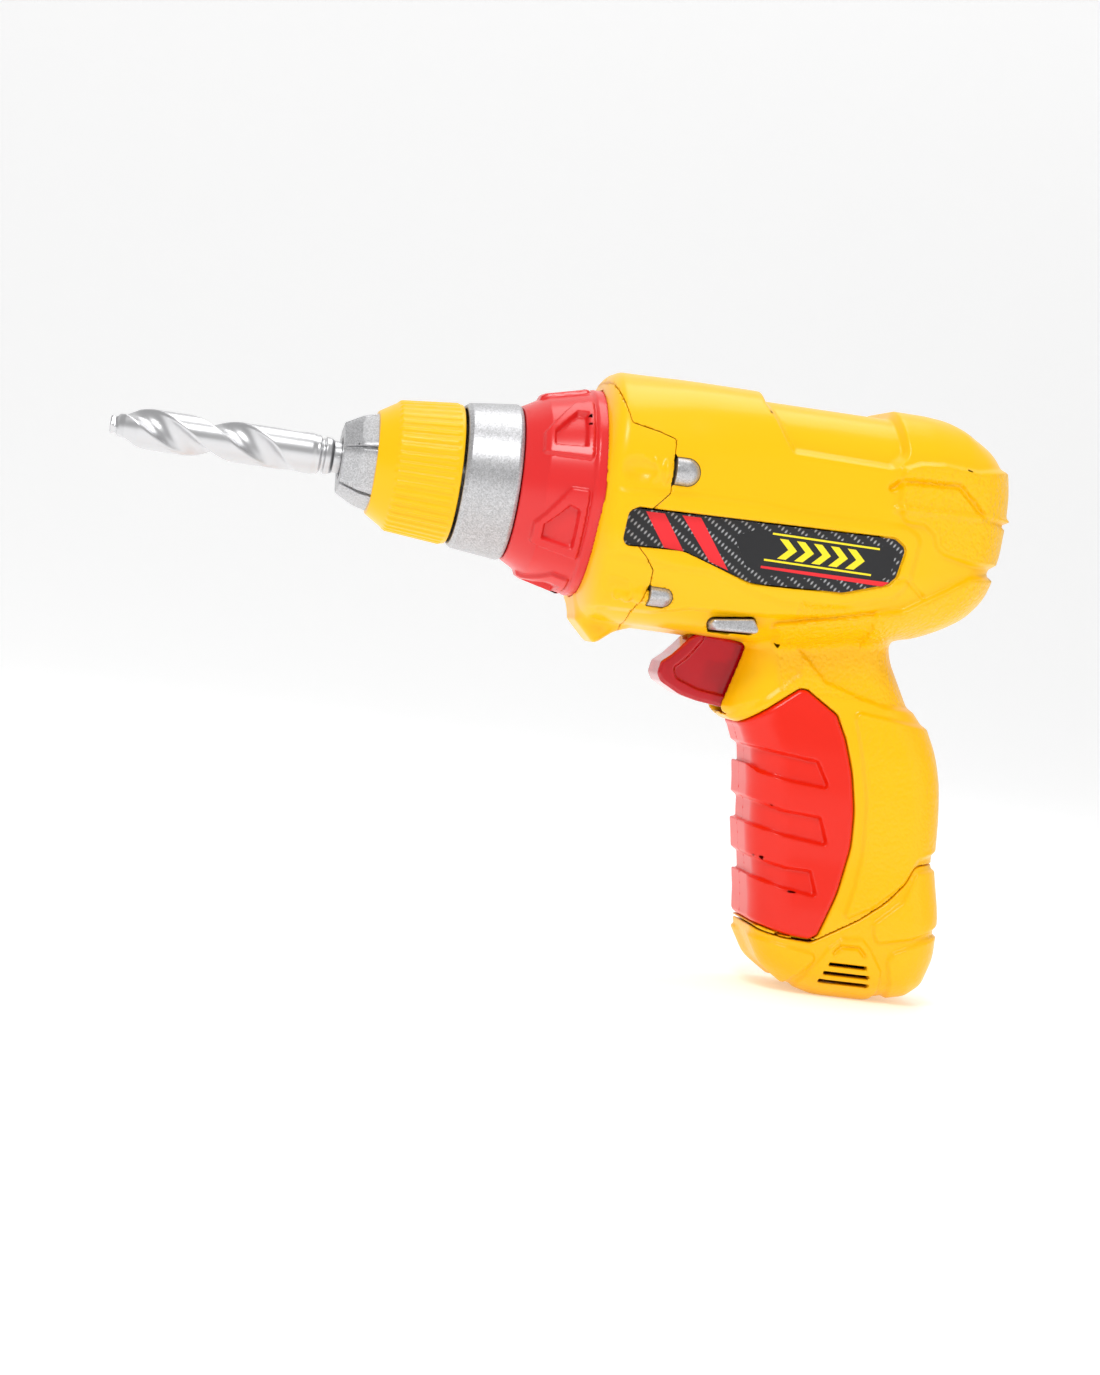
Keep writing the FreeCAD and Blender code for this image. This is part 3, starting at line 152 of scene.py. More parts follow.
class Outline:
    def __init__(self, corners: Sequence[Sequence[float]], radius: float = 0.0, margin: float = 14.0,
                 pitch: float = 0.35, closed: bool = True) -> None:
        """Work out the grid.

        Args:
            corners: The outline's corners, as rounded() takes them.
            radius: Radius of the corners that name none.
            margin: How far the grid reaches past the outline.
            pitch: Grid spacing.
            closed: False takes the corners as an open line and gives plain distance.
        """
        points = rounded(corners, radius) if closed else np.array([c[:2] for c in corners], float)
        self.points, self.pitch = points, pitch
        self.low = points.min(0) - margin
        count = np.ceil((points.max(0) + margin - self.low) / pitch).astype(int) + 1
        gx = self.low[0] + pitch * np.arange(count[0])
        gz = self.low[1] + pitch * np.arange(count[1])
        x, z = np.meshgrid(gx, gz, indexing="ij")
        best = np.full(x.shape, 1e9)
        inside = np.zeros(x.shape, bool)
        last = len(points) if closed else len(points) - 1
        for i in range(last):
            (ax, az), (bx, bz) = points[i], points[(i + 1) % len(points)]
            dx, dz = bx - ax, bz - az
            t = np.clip(((x - ax) * dx + (z - az) * dz) / max(dx * dx + dz * dz, 1e-12), 0, 1)
            best = np.minimum(best, (x - ax - t * dx) ** 2 + (z - az - t * dz) ** 2)
            if closed and az != bz:
                crosses = (az > z) != (bz > z)
                inside ^= crosses & (x < (bx - ax) * (z - az) / (bz - az) + ax)
        distance = np.sqrt(best)
        self.values = np.where(inside, -distance, distance) if closed else distance

    def at(self, x: Array, z: Array) -> Array:
        """Distance at each (x, z).

        Args:
            x: Positions along the drill.
            z: Heights.

        Returns:
            Distances.
        """
        fx, fz = (x - self.low[0]) / self.pitch, (z - self.low[1]) / self.pitch
        cx = np.clip(fx, 0, self.values.shape[0] - 1.001)
        cz = np.clip(fz, 0, self.values.shape[1] - 1.001)
        i, j = cx.astype(int), cz.astype(int)
        u, v = cx - i, cz - j
        g = self.values
        near = g[i, j] * (1 - u) + g[i + 1, j] * u
        far = g[i, j + 1] * (1 - u) + g[i + 1, j + 1] * u
        value = near * (1 - v) + far * v
        return value + self.pitch * np.hypot(fx - cx, fz - cz)


@dataclass(frozen=True)
class Relief:
    """A raised or sunk area or line of the flanks, the same on both.

    Attributes:
        outline: The area's edge, or the line.
        height: How far it stands out, negative when sunk.
        soft: Width of its sloping edge, or the line's half width.
        line: True for a rib or groove along the line.
    """

    outline: Outline
    height: float
    soft: float = 1.0
    line: bool = False

    def rise(self, x: Array, z: Array, spare: float = 0.0) -> Array:
        """Height added at each (x, z); spare widens what is sunk and narrows what is raised.

        Args:
            x: Positions along the drill.
            z: Heights.
            spare: Room left round the form, as in Relief.rise.

        Returns:
            Heights, mm.
        """
        if spare and self.line and self.height > 0:
            return np.zeros(len(x))
        d = self.outline.at(x, z) + (spare if self.height > 0 else -spare)
        if self.line:
            return self.height * ease(1 - np.maximum(d, 0) / self.soft)
        return self.height * ease(0.5 - d / self.soft)


def smooth_line(points: Sequence[Point2], low: float, high: float, blur: float) -> tuple[Array, Array]:
    """A broken line as a finely sampled, blurred curve for np.interp.

    Args:
        points: (position, value) pairs in rising order.
        low: Start of the samples.
        high: End of the samples.
        blur: Width of the blur.

    Returns:
        Sample positions and values.
    """
    at = np.arange(low, high, 0.25)
    value = np.interp(at, [p[0] for p in points], [p[1] for p in points])
    reach = int(3 * blur / 0.25)
    kernel = np.exp(-0.5 * (np.arange(-reach, reach + 1) * 0.25 / blur) ** 2)
    padded = np.pad(value, reach, mode="edge")
    return at, np.convolve(padded, kernel / kernel.sum(), mode="valid")


def gradient(f: Field, p: Array, step: float) -> Array:
    """Central-difference gradient of a field at each point.

    Args:
        f: The field.
        p: The points, n by 3.
        step: Half the span it is measured over.

    Returns:
        Gradients, n by 3.
    """
    made = np.empty_like(p)
    for axis in range(3):
        shift = np.zeros(3)
        shift[axis] = step
        made[:, axis] = (f(p + shift) - f(p - shift)) / (2 * step)
    return made


def net(f: Field, low: Sequence[float], high: Sequence[float], step: float) -> tuple[Array, Array]:
    """Surface-net mesh of a field's zero surface, worked out only near the surface.

    Args:
        f: The field.
        low: Lowest corner of the box to look in.
        high: Highest corner.
        step: Grid spacing.

    Returns:
        Points, n by 3, and quads, m by 4, facing outwards.
    """
    low, high = np.array(low, float), np.array(high, float)
    coarse = np.ceil((high - low) / (4 * step)).astype(int)
    shape = coarse * 4 + 1
    centres = [low[a] + 4 * step * (np.arange(coarse[a]) + 0.5) for a in range(3)]
    mid = np.stack(np.meshgrid(*centres, indexing="ij"), -1).reshape(-1, 3)
    near = (np.abs(f(mid)) < 4.6 * step).reshape(coarse)
    corner = np.zeros(shape, bool)
    for dx in range(5):
        for dy in range(5):
            for dz in range(5):
                corner[dx:dx + 4 * coarse[0]:4, dy:dy + 4 * coarse[1]:4, dz:dz + 4 * coarse[2]:4] |= near
    where = np.argwhere(corner)
    value = np.full(shape, 9.0, np.float32)
    for start in range(0, len(where), 400000):
        part = where[start:start + 400000]
        value[part[:, 0], part[:, 1], part[:, 2]] = f(low + step * part)
    known = corner[:-1, :-1, :-1].copy()
    minus = np.zeros(known.shape, np.int8)
    for o in np.ndindex(2, 2, 2):
        window = tuple(slice(o[a], shape[a] - 1 + o[a]) for a in range(3))
        known &= corner[window]
        minus += value[window] < 0
    cells = np.argwhere(known & (minus > 0) & (minus < 8))
    index = np.full(known.shape, -1, np.int64)
    index[cells[:, 0], cells[:, 1], cells[:, 2]] = np.arange(len(cells))
    corners = [np.array(o) for o in np.ndindex(2, 2, 2)]
    at = {tuple(o): value[tuple((cells + o).T)] for o in corners}
    total, count = np.zeros((len(cells), 3)), np.zeros(len(cells))
    for o in corners:
        for axis in range(3):
            if o[axis]:
                continue
            e = o.copy()
            e[axis] = 1
            a, b = at[tuple(o)], at[tuple(e)]
            crosses = (a < 0) != (b < 0)
            t = np.where(crosses, a / np.where(crosses, a - b, 1), 0)
            point = np.broadcast_to(o.astype(float), (len(cells), 3)).copy()
            point[:, axis] += t
            total += point * crosses[:, None]
            count += crosses
    points = low + step * (cells + total / count[:, None])
    quads = []
    for axis in range(3):
        b, c = (axis + 1) % 3, (axis + 2) % 3
        here = [slice(0, -1)] * 3
        there = list(here)
        here[axis], there[axis] = slice(0, shape[axis] - 1), slice(1, shape[axis])
        here[b] = there[b] = slice(1, shape[b] - 1)
        here[c] = there[c] = slice(1, shape[c] - 1)
        v0, v1 = value[tuple(here)], value[tuple(there)]
        edge = np.argwhere(((v0 < 0) != (v1 < 0)) & (v0 < 8) & (v1 < 8))
        rising = v0[tuple(edge.T)] < 0
        base = edge.copy()
        base[:, b] += 1
        base[:, c] += 1
        ring = []
        for db, dc in ((-1, -1), (0, -1), (0, 0), (-1, 0)):
            cell = base.copy()
            cell[:, b] += db
            cell[:, c] += dc
            ring.append(index[tuple(cell.T)])
        quad = np.stack(ring, 1)
        quad[~rising] = quad[~rising][:, ::-1]
        quads.append(quad[(quad >= 0).all(1)])
    return points, np.concatenate(quads)


def settle(points: Array, skin: Field, limits: Optional[Field], step: float) -> Array:
    """Move net points onto the true surface, and onto the crisp edge where skin and limits meet.

    Args:
        points: Points near the surface.
        skin: The field of the moulded form.
        limits: The field of the cuts that bound the piece, or None.
        step: The net's spacing.

    Returns:
        The moved points.
    """
    p = points.copy()
    for _ in range(SETTLE_ROUNDS):
        a = skin(p)
        ga = gradient(skin, p, 0.06)
        ga /= np.maximum(np.linalg.norm(ga, axis=1), 0.3)[:, None] ** 2
        if limits is None:
            move = -a[:, None] * ga
        else:
            b = limits(p)
            gb = gradient(limits, p, 0.06)
            gb /= np.maximum(np.linalg.norm(gb, axis=1), 0.3)[:, None] ** 2
            tie = CREASE * step
            use_a, use_b = (a > b - tie), (b > a - tie)
            move = -a[:, None] * ga * use_a[:, None] - b[:, None] * gb * use_b[:, None]
            both = use_a & use_b
            move[both] *= 0.7
        length = np.linalg.norm(move, axis=1)
        p += move * np.minimum(1, LONGEST_MOVE * step / np.maximum(length, 1e-9))[:, None]
    shift = p - points
    length = np.linalg.norm(shift, axis=1)
    return points + shift * np.minimum(1, LONGEST_SHIFT * step / np.maximum(length, 1e-9))[:, None]




# ------------------------------------------------------------------ finishes
@dataclass(frozen=True)
class Finish:
    """A surface finish, made into one material.

    Attributes:
        name: Name of the material.
        color: Base colour, linear RGB.
        roughness: Mirror-like 0 to chalky 1.
        metallic: 1 for metal and metal-flake paint.
        coat: Clear lacquer on top.
        grain: Height of the fine all-over grain, in mm.
        grain_size: Size of the fine grain, in mm.
        pebble: Height of the coarse leather-like grain where the mesh's "grain" attribute is 1, in mm.
        flake: Strength of the metal-flake sparkle.
        transmission: Share of light let through.
        mottled: Strength of slow changes in roughness.
        glow: Strength of light given off in its own colour.
        gloss: Strength of the surface's own reflection, 0.5 for plain plastic.
    """

    name: str
    color: tuple[float, float, float]
    roughness: float = 0.4
    metallic: float = 0.0
    coat: float = 0.0
    grain: float = 0.01
    grain_size: float = 0.5
    pebble: float = 0.0
    flake: float = 0.0
    transmission: float = 0.0
    mottled: float = 0.15
    glow: float = 0.0
    gloss: float = 0.5

    def material(self) -> bpy.types.Material:
        """Make the material, or return the one already made.

        Returns:
            The material.
        """
        made = bpy.data.materials.get(self.name)
        if made:
            return made
        made = bpy.data.materials.new(self.name)
        made.use_nodes = True
        nodes, links = made.node_tree.nodes, made.node_tree.links
        shader = nodes["Principled BSDF"]
        shader.inputs["Base Color"].default_value = (*self.color, 1)
        shader.inputs["Metallic"].default_value = self.metallic
        shader.inputs["Roughness"].default_value = self.roughness
        shader.inputs["Coat Weight"].default_value = self.coat
        shader.inputs["Coat Roughness"].default_value = 0.08
        shader.inputs["Transmission Weight"].default_value = self.transmission
        shader.inputs["IOR"].default_value = 1.47
        shader.inputs["Specular IOR Level"].default_value = self.gloss
        if self.glow:
            shader.inputs["Emission Color"].default_value = (*self.color, 1)
            shader.inputs["Emission Strength"].default_value = self.glow
        where = nodes.new("ShaderNodeTexCoord")
        slow = nodes.new("ShaderNodeTexNoise")
        slow.inputs["Scale"].default_value = 60.0
        slow.inputs["Detail"].default_value = 3.0
        links.new(where.outputs["Object"], slow.inputs["Vector"])
        rough = nodes.new("ShaderNodeMapRange")
        rough.inputs["To Min"].default_value = self.roughness * (1 - self.mottled)
        rough.inputs["To Max"].default_value = min(1.0, self.roughness * (1 + self.mottled))
        links.new(slow.outputs["Fac"], rough.inputs["Value"])
        links.new(rough.outputs["Result"], shader.inputs["Roughness"])
        fine = nodes.new("ShaderNodeTexNoise")
        fine.inputs["Scale"].default_value = 1000.0 / max(self.grain_size, 0.05) / 2
        fine.inputs["Detail"].default_value = 2.0
        links.new(where.outputs["Object"], fine.inputs["Vector"])
        bump = nodes.new("ShaderNodeBump")
        bump.inputs["Distance"].default_value = self.grain * MM
        bump.inputs["Strength"].default_value = 1.0
        links.new(fine.outputs["Fac"], bump.inputs["Height"])
        last = bump
        if self.pebble:
            last = self._pebbles(made.node_tree, where, bump)
        if self.flake:
            self._flakes(made.node_tree, where, shader)
        links.new(last.outputs["Normal"], shader.inputs["Normal"])
        return made

    def _pebbles(self, tree: bpy.types.NodeTree, where: bpy.types.Node,
                 below: bpy.types.Node) -> bpy.types.Node:
        """Add the coarse grain, held to the mesh's "grain" attribute, on top of a bump node.

        Args:
            tree: The material's node tree.
            where: Node that gives the coordinates.
            below: The bump node underneath.

        Returns:
            The node that holds the result.
        """
        nodes, links = tree.nodes, tree.links
        cells = nodes.new("ShaderNodeTexVoronoi")
        cells.feature = "SMOOTH_F1"
        cells.inputs["Scale"].default_value = 900.0
        cells.inputs["Smoothness"].default_value = 0.6
        warp = nodes.new("ShaderNodeTexNoise")
        warp.inputs["Scale"].default_value = 700.0
        mix = nodes.new("ShaderNodeMath")
        mix.operation = "ADD"
        mask = nodes.new("ShaderNodeAttribute")
        mask.attribute_name = "grain"
        product = nodes.new("ShaderNodeMath")
        product.operation = "MULTIPLY"
        coarse = nodes.new("ShaderNodeBump")
        coarse.inputs["Distance"].default_value = self.pebble * MM
        coarse.inputs["Strength"].default_value = 1.0
        coarse.invert = True
        links.new(where.outputs["Object"], cells.inputs["Vector"])
        links.new(where.outputs["Object"], warp.inputs["Vector"])
        links.new(cells.outputs["Distance"], mix.inputs[0])
        links.new(warp.outputs["Fac"], mix.inputs[1])
        links.new(mix.outputs["Value"], product.inputs[0])
        links.new(mask.outputs["Fac"], product.inputs[1])
        links.new(product.outputs["Value"], coarse.inputs["Height"])
        links.new(below.outputs["Normal"], coarse.inputs["Normal"])
        return coarse

    def _flakes(self, tree: bpy.types.NodeTree, where: bpy.types.Node, shader: bpy.types.Node) -> None:
        """Add the sparkle of metal flake to the base colour.

        Args:
            tree: The material's node tree.
            where: Node that gives the coordinates.
            shader: The shader node.
        """
        nodes, links = tree.nodes, tree.links
        specks = nodes.new("ShaderNodeTexVoronoi")
        specks.inputs["Scale"].default_value = 3200.0
        links.new(where.outputs["Object"], specks.inputs["Vector"])
        ramp = nodes.new("ShaderNodeMapRange")
        ramp.inputs["To Min"].default_value = 1 - self.flake
        ramp.inputs["To Max"].default_value = 1 + self.flake
        links.new(specks.outputs["Color"], ramp.inputs["Value"])
        scale = nodes.new("ShaderNodeVectorMath")
        scale.operation = "SCALE"
        scale.inputs[0].default_value = self.color
        links.new(ramp.outputs["Result"], scale.inputs["Scale"])
        links.new(scale.outputs["Vector"], shader.inputs["Base Color"])


YELLOW = Finish("yellow_abs", (1.0, 0.54, 0.0), 0.3, coat=0.06, grain=0.006, pebble=0.3, gloss=0.32)
ORANGE = Finish("orange_rubber", (0.84, 0.014, 0.001), 0.3, coat=0.15, grain=0.008, gloss=0.4)
RED_CLEAR = Finish("clear_red", (0.66, 0.0, 0.008), 0.05, coat=0.35, transmission=0.82,
                   grain=0.002, glow=0.05)
RED_TRIGGER = Finish("clear_red_trigger", (0.68, 0.003, 0.014), 0.12, coat=0.4, transmission=0.4, grain=0.003)
SILVER = Finish("silver_flake", (0.50, 0.50, 0.51), 0.38, metallic=0.75, flake=0.28, grain=0.006)
SATIN = Finish("satin_silver", (0.62, 0.62, 0.63), 0.3, metallic=0.95, grain=0.01)
STEEL = Finish("steel", (0.6, 0.6, 0.62), 0.3, metallic=1.0, grain=0.004)
BRASS = Finish("brass", (0.8, 0.55, 0.2), 0.3, metallic=1.0, grain=0.004)
NYLON = Finish("white_nylon", (0.85, 0.85, 0.82), 0.5)
BLACK = Finish("black_moulding", (0.02, 0.02, 0.022), 0.55, grain=0.02)
BOARD = Finish("board_green", (0.01, 0.12, 0.04), 0.35)
WIRE = Finish("wire_red", (0.6, 0.02, 0.02), 0.45)
CLEAR = Finish("lamp_clear", (0.95, 0.9, 0.9), 0.08, transmission=0.9)
CELL = Finish("cell_blue", (0.02, 0.08, 0.35), 0.35, coat=0.3)
FLOOR = Finish("floor_white", (0.93, 0.93, 0.93), 0.9, grain=0.0, glow=0.3, gloss=0.1)
PRINT_YELLOW = Finish("print_yellow", (1.0, 0.82, 0.02), 0.3, coat=0.3)
PRINT_RED = Finish("print_red", (0.9, 0.02, 0.03), 0.3, coat=0.3)


# ------------------------------------------------------------------ meshes
def mesh_object(name: str, points: Array, faces: Array, normals: Optional[Array] = None) -> bpy.types.Object:
    """Mesh object in the row's frame.

    Args:
        name: Name of the piece.
        points: Points in drill coordinates, n by 3, mm.
        faces: Quads or triangles, m by 4 or m by 3.
        normals: A shading normal for each point, or None for smooth ones.

    Returns:
        The object, in the scene.
    """
    mesh = bpy.data.meshes.new(name)
    sides = faces.shape[1]
    mesh.vertices.add(len(points))
    mesh.vertices.foreach_set("co", ((points + ORIGIN) * MM).astype(np.float32).ravel())
    mesh.loops.add(faces.size)
    mesh.loops.foreach_set("vertex_index", faces.astype(np.int32).ravel())
    mesh.polygons.add(len(faces))
    mesh.polygons.foreach_set("loop_start", np.arange(0, faces.size, sides, dtype=np.int32))
    mesh.polygons.foreach_set("use_smooth", np.ones(len(faces), bool))
    mesh.update(calc_edges=True)
    mesh.validate()
    if normals is not None:
        mesh.normals_split_custom_set_from_vertices(normals.astype(np.float32).tolist())
    made = bpy.data.objects.new(name, mesh)
    bpy.context.scene.collection.objects.link(made)
    return made


def point_normals(points: Array, faces: Array) -> Array:
    """Unit normals of a mesh's points, from the faces round them.

    Args:
        points: The points, n by 3.
        faces: The faces, m by 3 or 4.

    Returns:
        Normals, n by 3.
    """
    across = np.cross(points[faces[:, 2]] - points[faces[:, 0]], points[faces[:, -1]] - points[faces[:, 1]])
    total = np.zeros_like(points)
    for corner in range(faces.shape[1]):
        np.add.at(total, faces[:, corner], across)
    return total / np.maximum(np.linalg.norm(total, axis=1), 1e-9)[:, None]


@dataclass
class Piece:
    """One moulded piece: its fields, where it is, and what it stands for.

    Attributes:
        name: Name of the piece.
        skin: Field of the moulded form.
        low: Lowest corner of the piece's box.
        high: Highest corner.
        body: CAD body it moves with.
        replaces: CAD nodes it stands for.
        slot: Material slot of the record; not used.
        finish: Its finish.
        limits: Field of the cuts that bound it.
        step: Mesh spacing, mm.
        grain: Share of coarse grain at each point.
    """

    name: str
    skin: Field
    low: Sequence[float]
    high: Sequence[float]
    body: str
    replaces: Sequence[str]
    slot: str
    finish: Finish
    limits: Optional[Field] = None
    step: float = 0.5
    grain: Optional[Field] = None

    def build(self) -> bpy.types.Object:
        """Mesh the fields, give the piece its finish and tie it to the frame.

        Returns:
            The object.
        """
        step = self.step * 1.0
        limits = self.limits
        whole = self.skin if limits is None else (lambda p: np.maximum(self.skin(p), limits(p)))
        points, quads = net(whole, self.low, self.high, step)
        points = settle(points, self.skin, limits, step)
        normals = gradient(self.skin, points, NORMAL_REACH)
        if limits is not None:
            cut = limits(points) > self.skin(points) + 0.3 * step
            normals[cut] = gradient(limits, points[cut], CUT_REACH)
        normals /= np.maximum(np.linalg.norm(normals, axis=1), 1e-6)[:, None]
        plain = point_normals(points, quads)
        astray = np.sum(normals * plain, axis=1) < ASTRAY
        normals[astray] = plain[astray]
        made = mesh_object(self.name, points, quads, normals)
        if self.grain is not None:
            layer = made.data.attributes.new("grain", "FLOAT", "POINT")
            layer.data.foreach_set("value", self.grain(points).astype(np.float32))
        made.data.materials.append(self.finish.material())
        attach(made, self.body)
        if self.replaces:
            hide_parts(*self.replaces)
        LOG.info("%s: %d faces at %.2f mm", self.name, len(quads), step)
        return made


def split(p: Array) -> tuple[Array, Array, Array]:
    """The x, y and z columns of points."""
    return p[:, 0], p[:, 1], p[:, 2]


# ------------------------------------------------------------------ the moulded housing
LABEL = [(44.9, -3.0), (113.7, -1.2, 2), (116.9, -3.3, 2), (115.3, -11.0, 1), (113.4, -13.1, 1),
         (101.7, -16.9, 4), (76.8, -17.8, 8), (67.9, -14.9, 5), (57.8, -11.8, 8), (42.9, -12.5, 1),
         (41.9, -11.3, 1), (42.5, -4.2, 2)]
GRIP = [(83.8, -54.6), (97.6, -43.5, 2), (99.6, -43.6, 1), (108.5, -49.1, 1.5), (111.4, -54.9, 14),
        (114.4, -63.9, 25), (116.4, -74.0, 25), (116.9, -83.5, 20), (114.8, -96.0, 25), (110.9, -107.6, 1),
        (108.6, -109.0, 1), (102.0, -108.4, 6), (93.0, -106.4, 3), (84.0, -103.0), (76.0, -103.0),
        (76.0, -58.0)]
BASE_LINE = [(80.0, -103.6), (90.9, -105.4), (95.7, -108.4, 6), (101.6, -109.3), (109.4, -109.7, 2),
             (121.9, -102.2, 20), (129.0, -96.5, 15), (133.3, -91.1, 8), (135.3, -86.3, 3), (150.0, -84.0),
             (150.0, -140.0), (80.0, -140.0)]
NOSE_LINE = [(20.0, 60.0), (36.4, 60.0), (36.4, 30.5, 2), (40.4, 18.6, 1), (47.7, 17.2), (52.2, 15.9, 0.8),
             (52.4, 2.0, 1), (48.2, -2.6), (45.0, -6.0), (45.0, -12.0), (48.2, -15.0), (50.8, -18.0, 1),
             (50.8, -22.0, 1), (48.3, -28.8), (47.0, -60.0), (20.0, -60.0)]
TRIGGER_DIP = 6.0           # the trigger's path falls to the rear by this, in degrees
BUTTON = [(68.0, -28.3, 1.2), (80.2, -26.6, 1.0), (82.6, -30.7, 1.0), (70.1, -31.4, 1.6)]

FINGER_WINDOWS = [
    [(70, -59.6), (84.2, -59.9), (104.6, -61.9, 0.6), (108.8, -68.7, 0.8), (98.0, -67.9, 3), (90.0, -66.5, 3),
     (85.6, -63.4, 3), (70, -61.0)],
    [(70, -73.4), (85.9, -73.6), (97.0, -75.9), (107.4, -76.5, 0.6), (110.3, -83.7, 0.8), (98.5, -82.4, 3),
     (89.5, -80.6, 3), (85.8, -77.4, 3), (70, -75.6)],
    [(70, -88.6), (88.4, -88.8), (99.5, -90.8), (106.7, -91.0, 0.6), (109.2, -97.6, 0.8), (100.0, -96.2, 3),
     (92.5, -94.6, 3), (88.6, -91.6, 3), (70, -90.6)],
]


@dataclass(frozen=True)
class Housing:
    """The moulded body: barrel, chin, handle and base, with everything raised or sunk on it.

    Attributes:
        wall: Wall thickness.
        seam: Half the gap between two moulded pieces.
        lip: Radius of the nose cover's front edge.
        bore: Radius of the opening that holds the light ring.
        label_floor: How far out the label's floor lies.
        grip_wall: Thickness of the soft grips.
        boss: Outer radius of the screw bosses.
        head_room: Radius of the bores that the screws' heads sit in.
        head_seat: How far out the heads' seats lie.
        step: Mesh spacing.
        shapes: Outlines and reliefs by name, worked out once.
    """

    wall: float = 2.1
    seam: float = 0.12
    lip: float = 5.0
    bore: float = 27.65
    label_floor: float = 27.35
    grip_wall: float = 2.5
    boss: float = 3.9
    head_room: float = 2.85
    head_seat: float = 10.1
    step: float = 0.62
    shapes: dict = field(default_factory=dict)

    def prepare(self) -> None:
        """Work out the outlines and reliefs once."""
        s = self.shapes
        s["top"] = smooth_line([(30, 28.6), (35.0, 29.2), (36.6, 32.0), (39.0, 32.9),
                                (54.8, 33.1), (75, 33.0), (122, 33.3), (133.3, 32.5), (137, 31.0),
                                (150, 29.0)], 20, 160, 0.7)
        s["bottom"] = smooth_line([(30, -30.0), (35.0, -30.4), (37.5, -33.2), (46.0, -34.2), (53.0, -33.7),
                                   (77.7, -33.7), (84.0, -33.5), (100.0, -30.5), (118.0, -26.5),
                                   (123.5, -24.8), (137.0, -21.8), (150.0, -19.0)], 20, 160, 1.2)
        s["rear"] = smooth_line([(-40, 133.0), (-26, 134.0), (-23.0, 137.0), (-19.0, 140.6), (-13.3, 143.0),
                                 (-7.7, 144.0), (-1.0, 145.4), (8.0, 145.9), (18.0, 145.6), (22.0, 145.8),
                                 (25.5, 144.4), (28.0, 142.2), (31.0, 137.5), (36.0, 131.0)], -60, 60, 0.9)
        s["half"] = smooth_line([(30, 30.4), (38, 30.2), (47, 29.7), (56, 28.8), (75, 28.4), (112, 28.0),
                                 (125, 26.6), (138, 23.5), (147, 20.0)], 20, 160, 2.0)
        s["upper_r"] = smooth_line([(34, 27.0), (44, 26.0), (60, 20.5), (75, 18.5), (147, 17.0)],
                                   20, 160, 2.0)
        s["lower_r"] = smooth_line([(34, 26.0), (46, 23.0), (58, 18.0), (147, 15.0)], 20, 160, 2.0)
        s["chin"] = Outline([(35.9, -27.0), (36.3, -33.4, 1), (42.0, -39.0, 0.9), (43.6, -38.2, 0.8),
                             (46.8, -35.6, 3), (50.5, -33.4), (51.0, -27.0)])
        s["handle"] = Outline([(84.0, -20.0), (82.2, -34.2), (77.7, -50.9, 1.0), (78.7, -52.9, 1.0),
                               (84.8, -55.2, 2), (87.0, -60.0, 8), (88.7, -70.0, 30), (89.6, -80.0, 30),
                               (91.4, -90.0, 30), (93.3, -100.0, 20), (94.4, -109.5, 8), (99.0, -117.3, 9),
                               (106.0, -122.0, 6), (115.0, -124.5, 14), (128.0, -124.5, 14),
                               (139.5, -121.8, 4), (143.2, -118.3, 5), (145.2, -111.0, 14),
                               (145.2, -100.0, 30), (142.2, -86.0, 30), (141.5, -74.0, 40),
                               (140.4, -64.0, 40), (138.0, -55.8, 30), (134.9, -49.2, 8), (130.4, -44.0, 4),
                               (124.1, -32.6, 12), (122.8, -26.5), (122.0, -20.0)])
        s["width"] = smooth_line([(-124.5, 15.2), (-119.0, 17.2), (-110.0, 18.0), (-102.0, 18.0),
                                  (-88.0, 17.2), (-70.0, 17.2), (-58.0, 16.8), (-50.0, 15.6), (-38.0, 15.0),
                                  (-25.0, 16.5)], -140, 0, 1.5)
        s["label"] = Outline(LABEL)
        s["grip"] = Outline(GRIP)
        s["base"] = Outline(BASE_LINE)
        s["nose"] = Outline(NOSE_LINE)
        s["button"] = Outline(BUTTON)
        self._panels()

    def _panels(self) -> None:
        """Work out what is raised and sunk on the flanks and the grips."""
        s = self.shapes
        s["recess"] = Outline([(76.6, 44.0), (76.6, 29.5), (78.9, 25.8), (81.8, 20.2), (83.7, 17.6, 0.8),
                               (110.5, 17.3, 2), (114.2, 21.0, 3), (112.0, 34.0), (112.0, 44.0)])
        s["rim"] = Outline([(39.5, 1.2), (55.3, 2.2, 20), (75.8, 2.7, 20), (92.0, 1.7, 20), (116.1, 2.3, 3),
                            (120.8, 0.2, 3), (119.2, -12.0, 4), (116.0, -16.4, 3), (99.0, -21.4, 12),
                            (84.8, -21.7, 12), (76.3, -19.9, 8), (65.7, -16.9, 8), (55.0, -16.8, 8),
                            (39.6, -15.6), (34.0, -14.0), (34.0, 1.0)])
        s["bumper"] = Outline([(113.4, 17.2, 1.5), (113.4, 8.5, 3), (115.2, 3.9, 2), (121.2, 3.7, 2),
                               (124.3, 1.4, 1), (125.3, -1.6, 1), (127.5, -3.2, 1), (137.0, -4.6),
                               (152.0, -4.2), (152.0, 23.0), (135.0, 19.6), (125.0, 20.0),
                               (118.0, 19.2, 2)])
        s["low"] = Outline([(85.0, -27.9, 0.8), (89.7, -26.9, 2), (119.0, -19.6, 5), (128.9, -13.4, 4),
                            (136.6, -8.4), (152.0, -6.4), (152.0, -45.0), (92.0, -45.0), (88.0, -30.0, 1)])
        s["lower_flank"] = Outline([(34.0, -29.6), (52.9, -28.9, 5), (62.5, -26.6, 6), (84.0, -25.6, 6),
                                    (100.0, -23.5), (112.1, -20.6), (112.0, -60.0), (34.0, -60.0)])
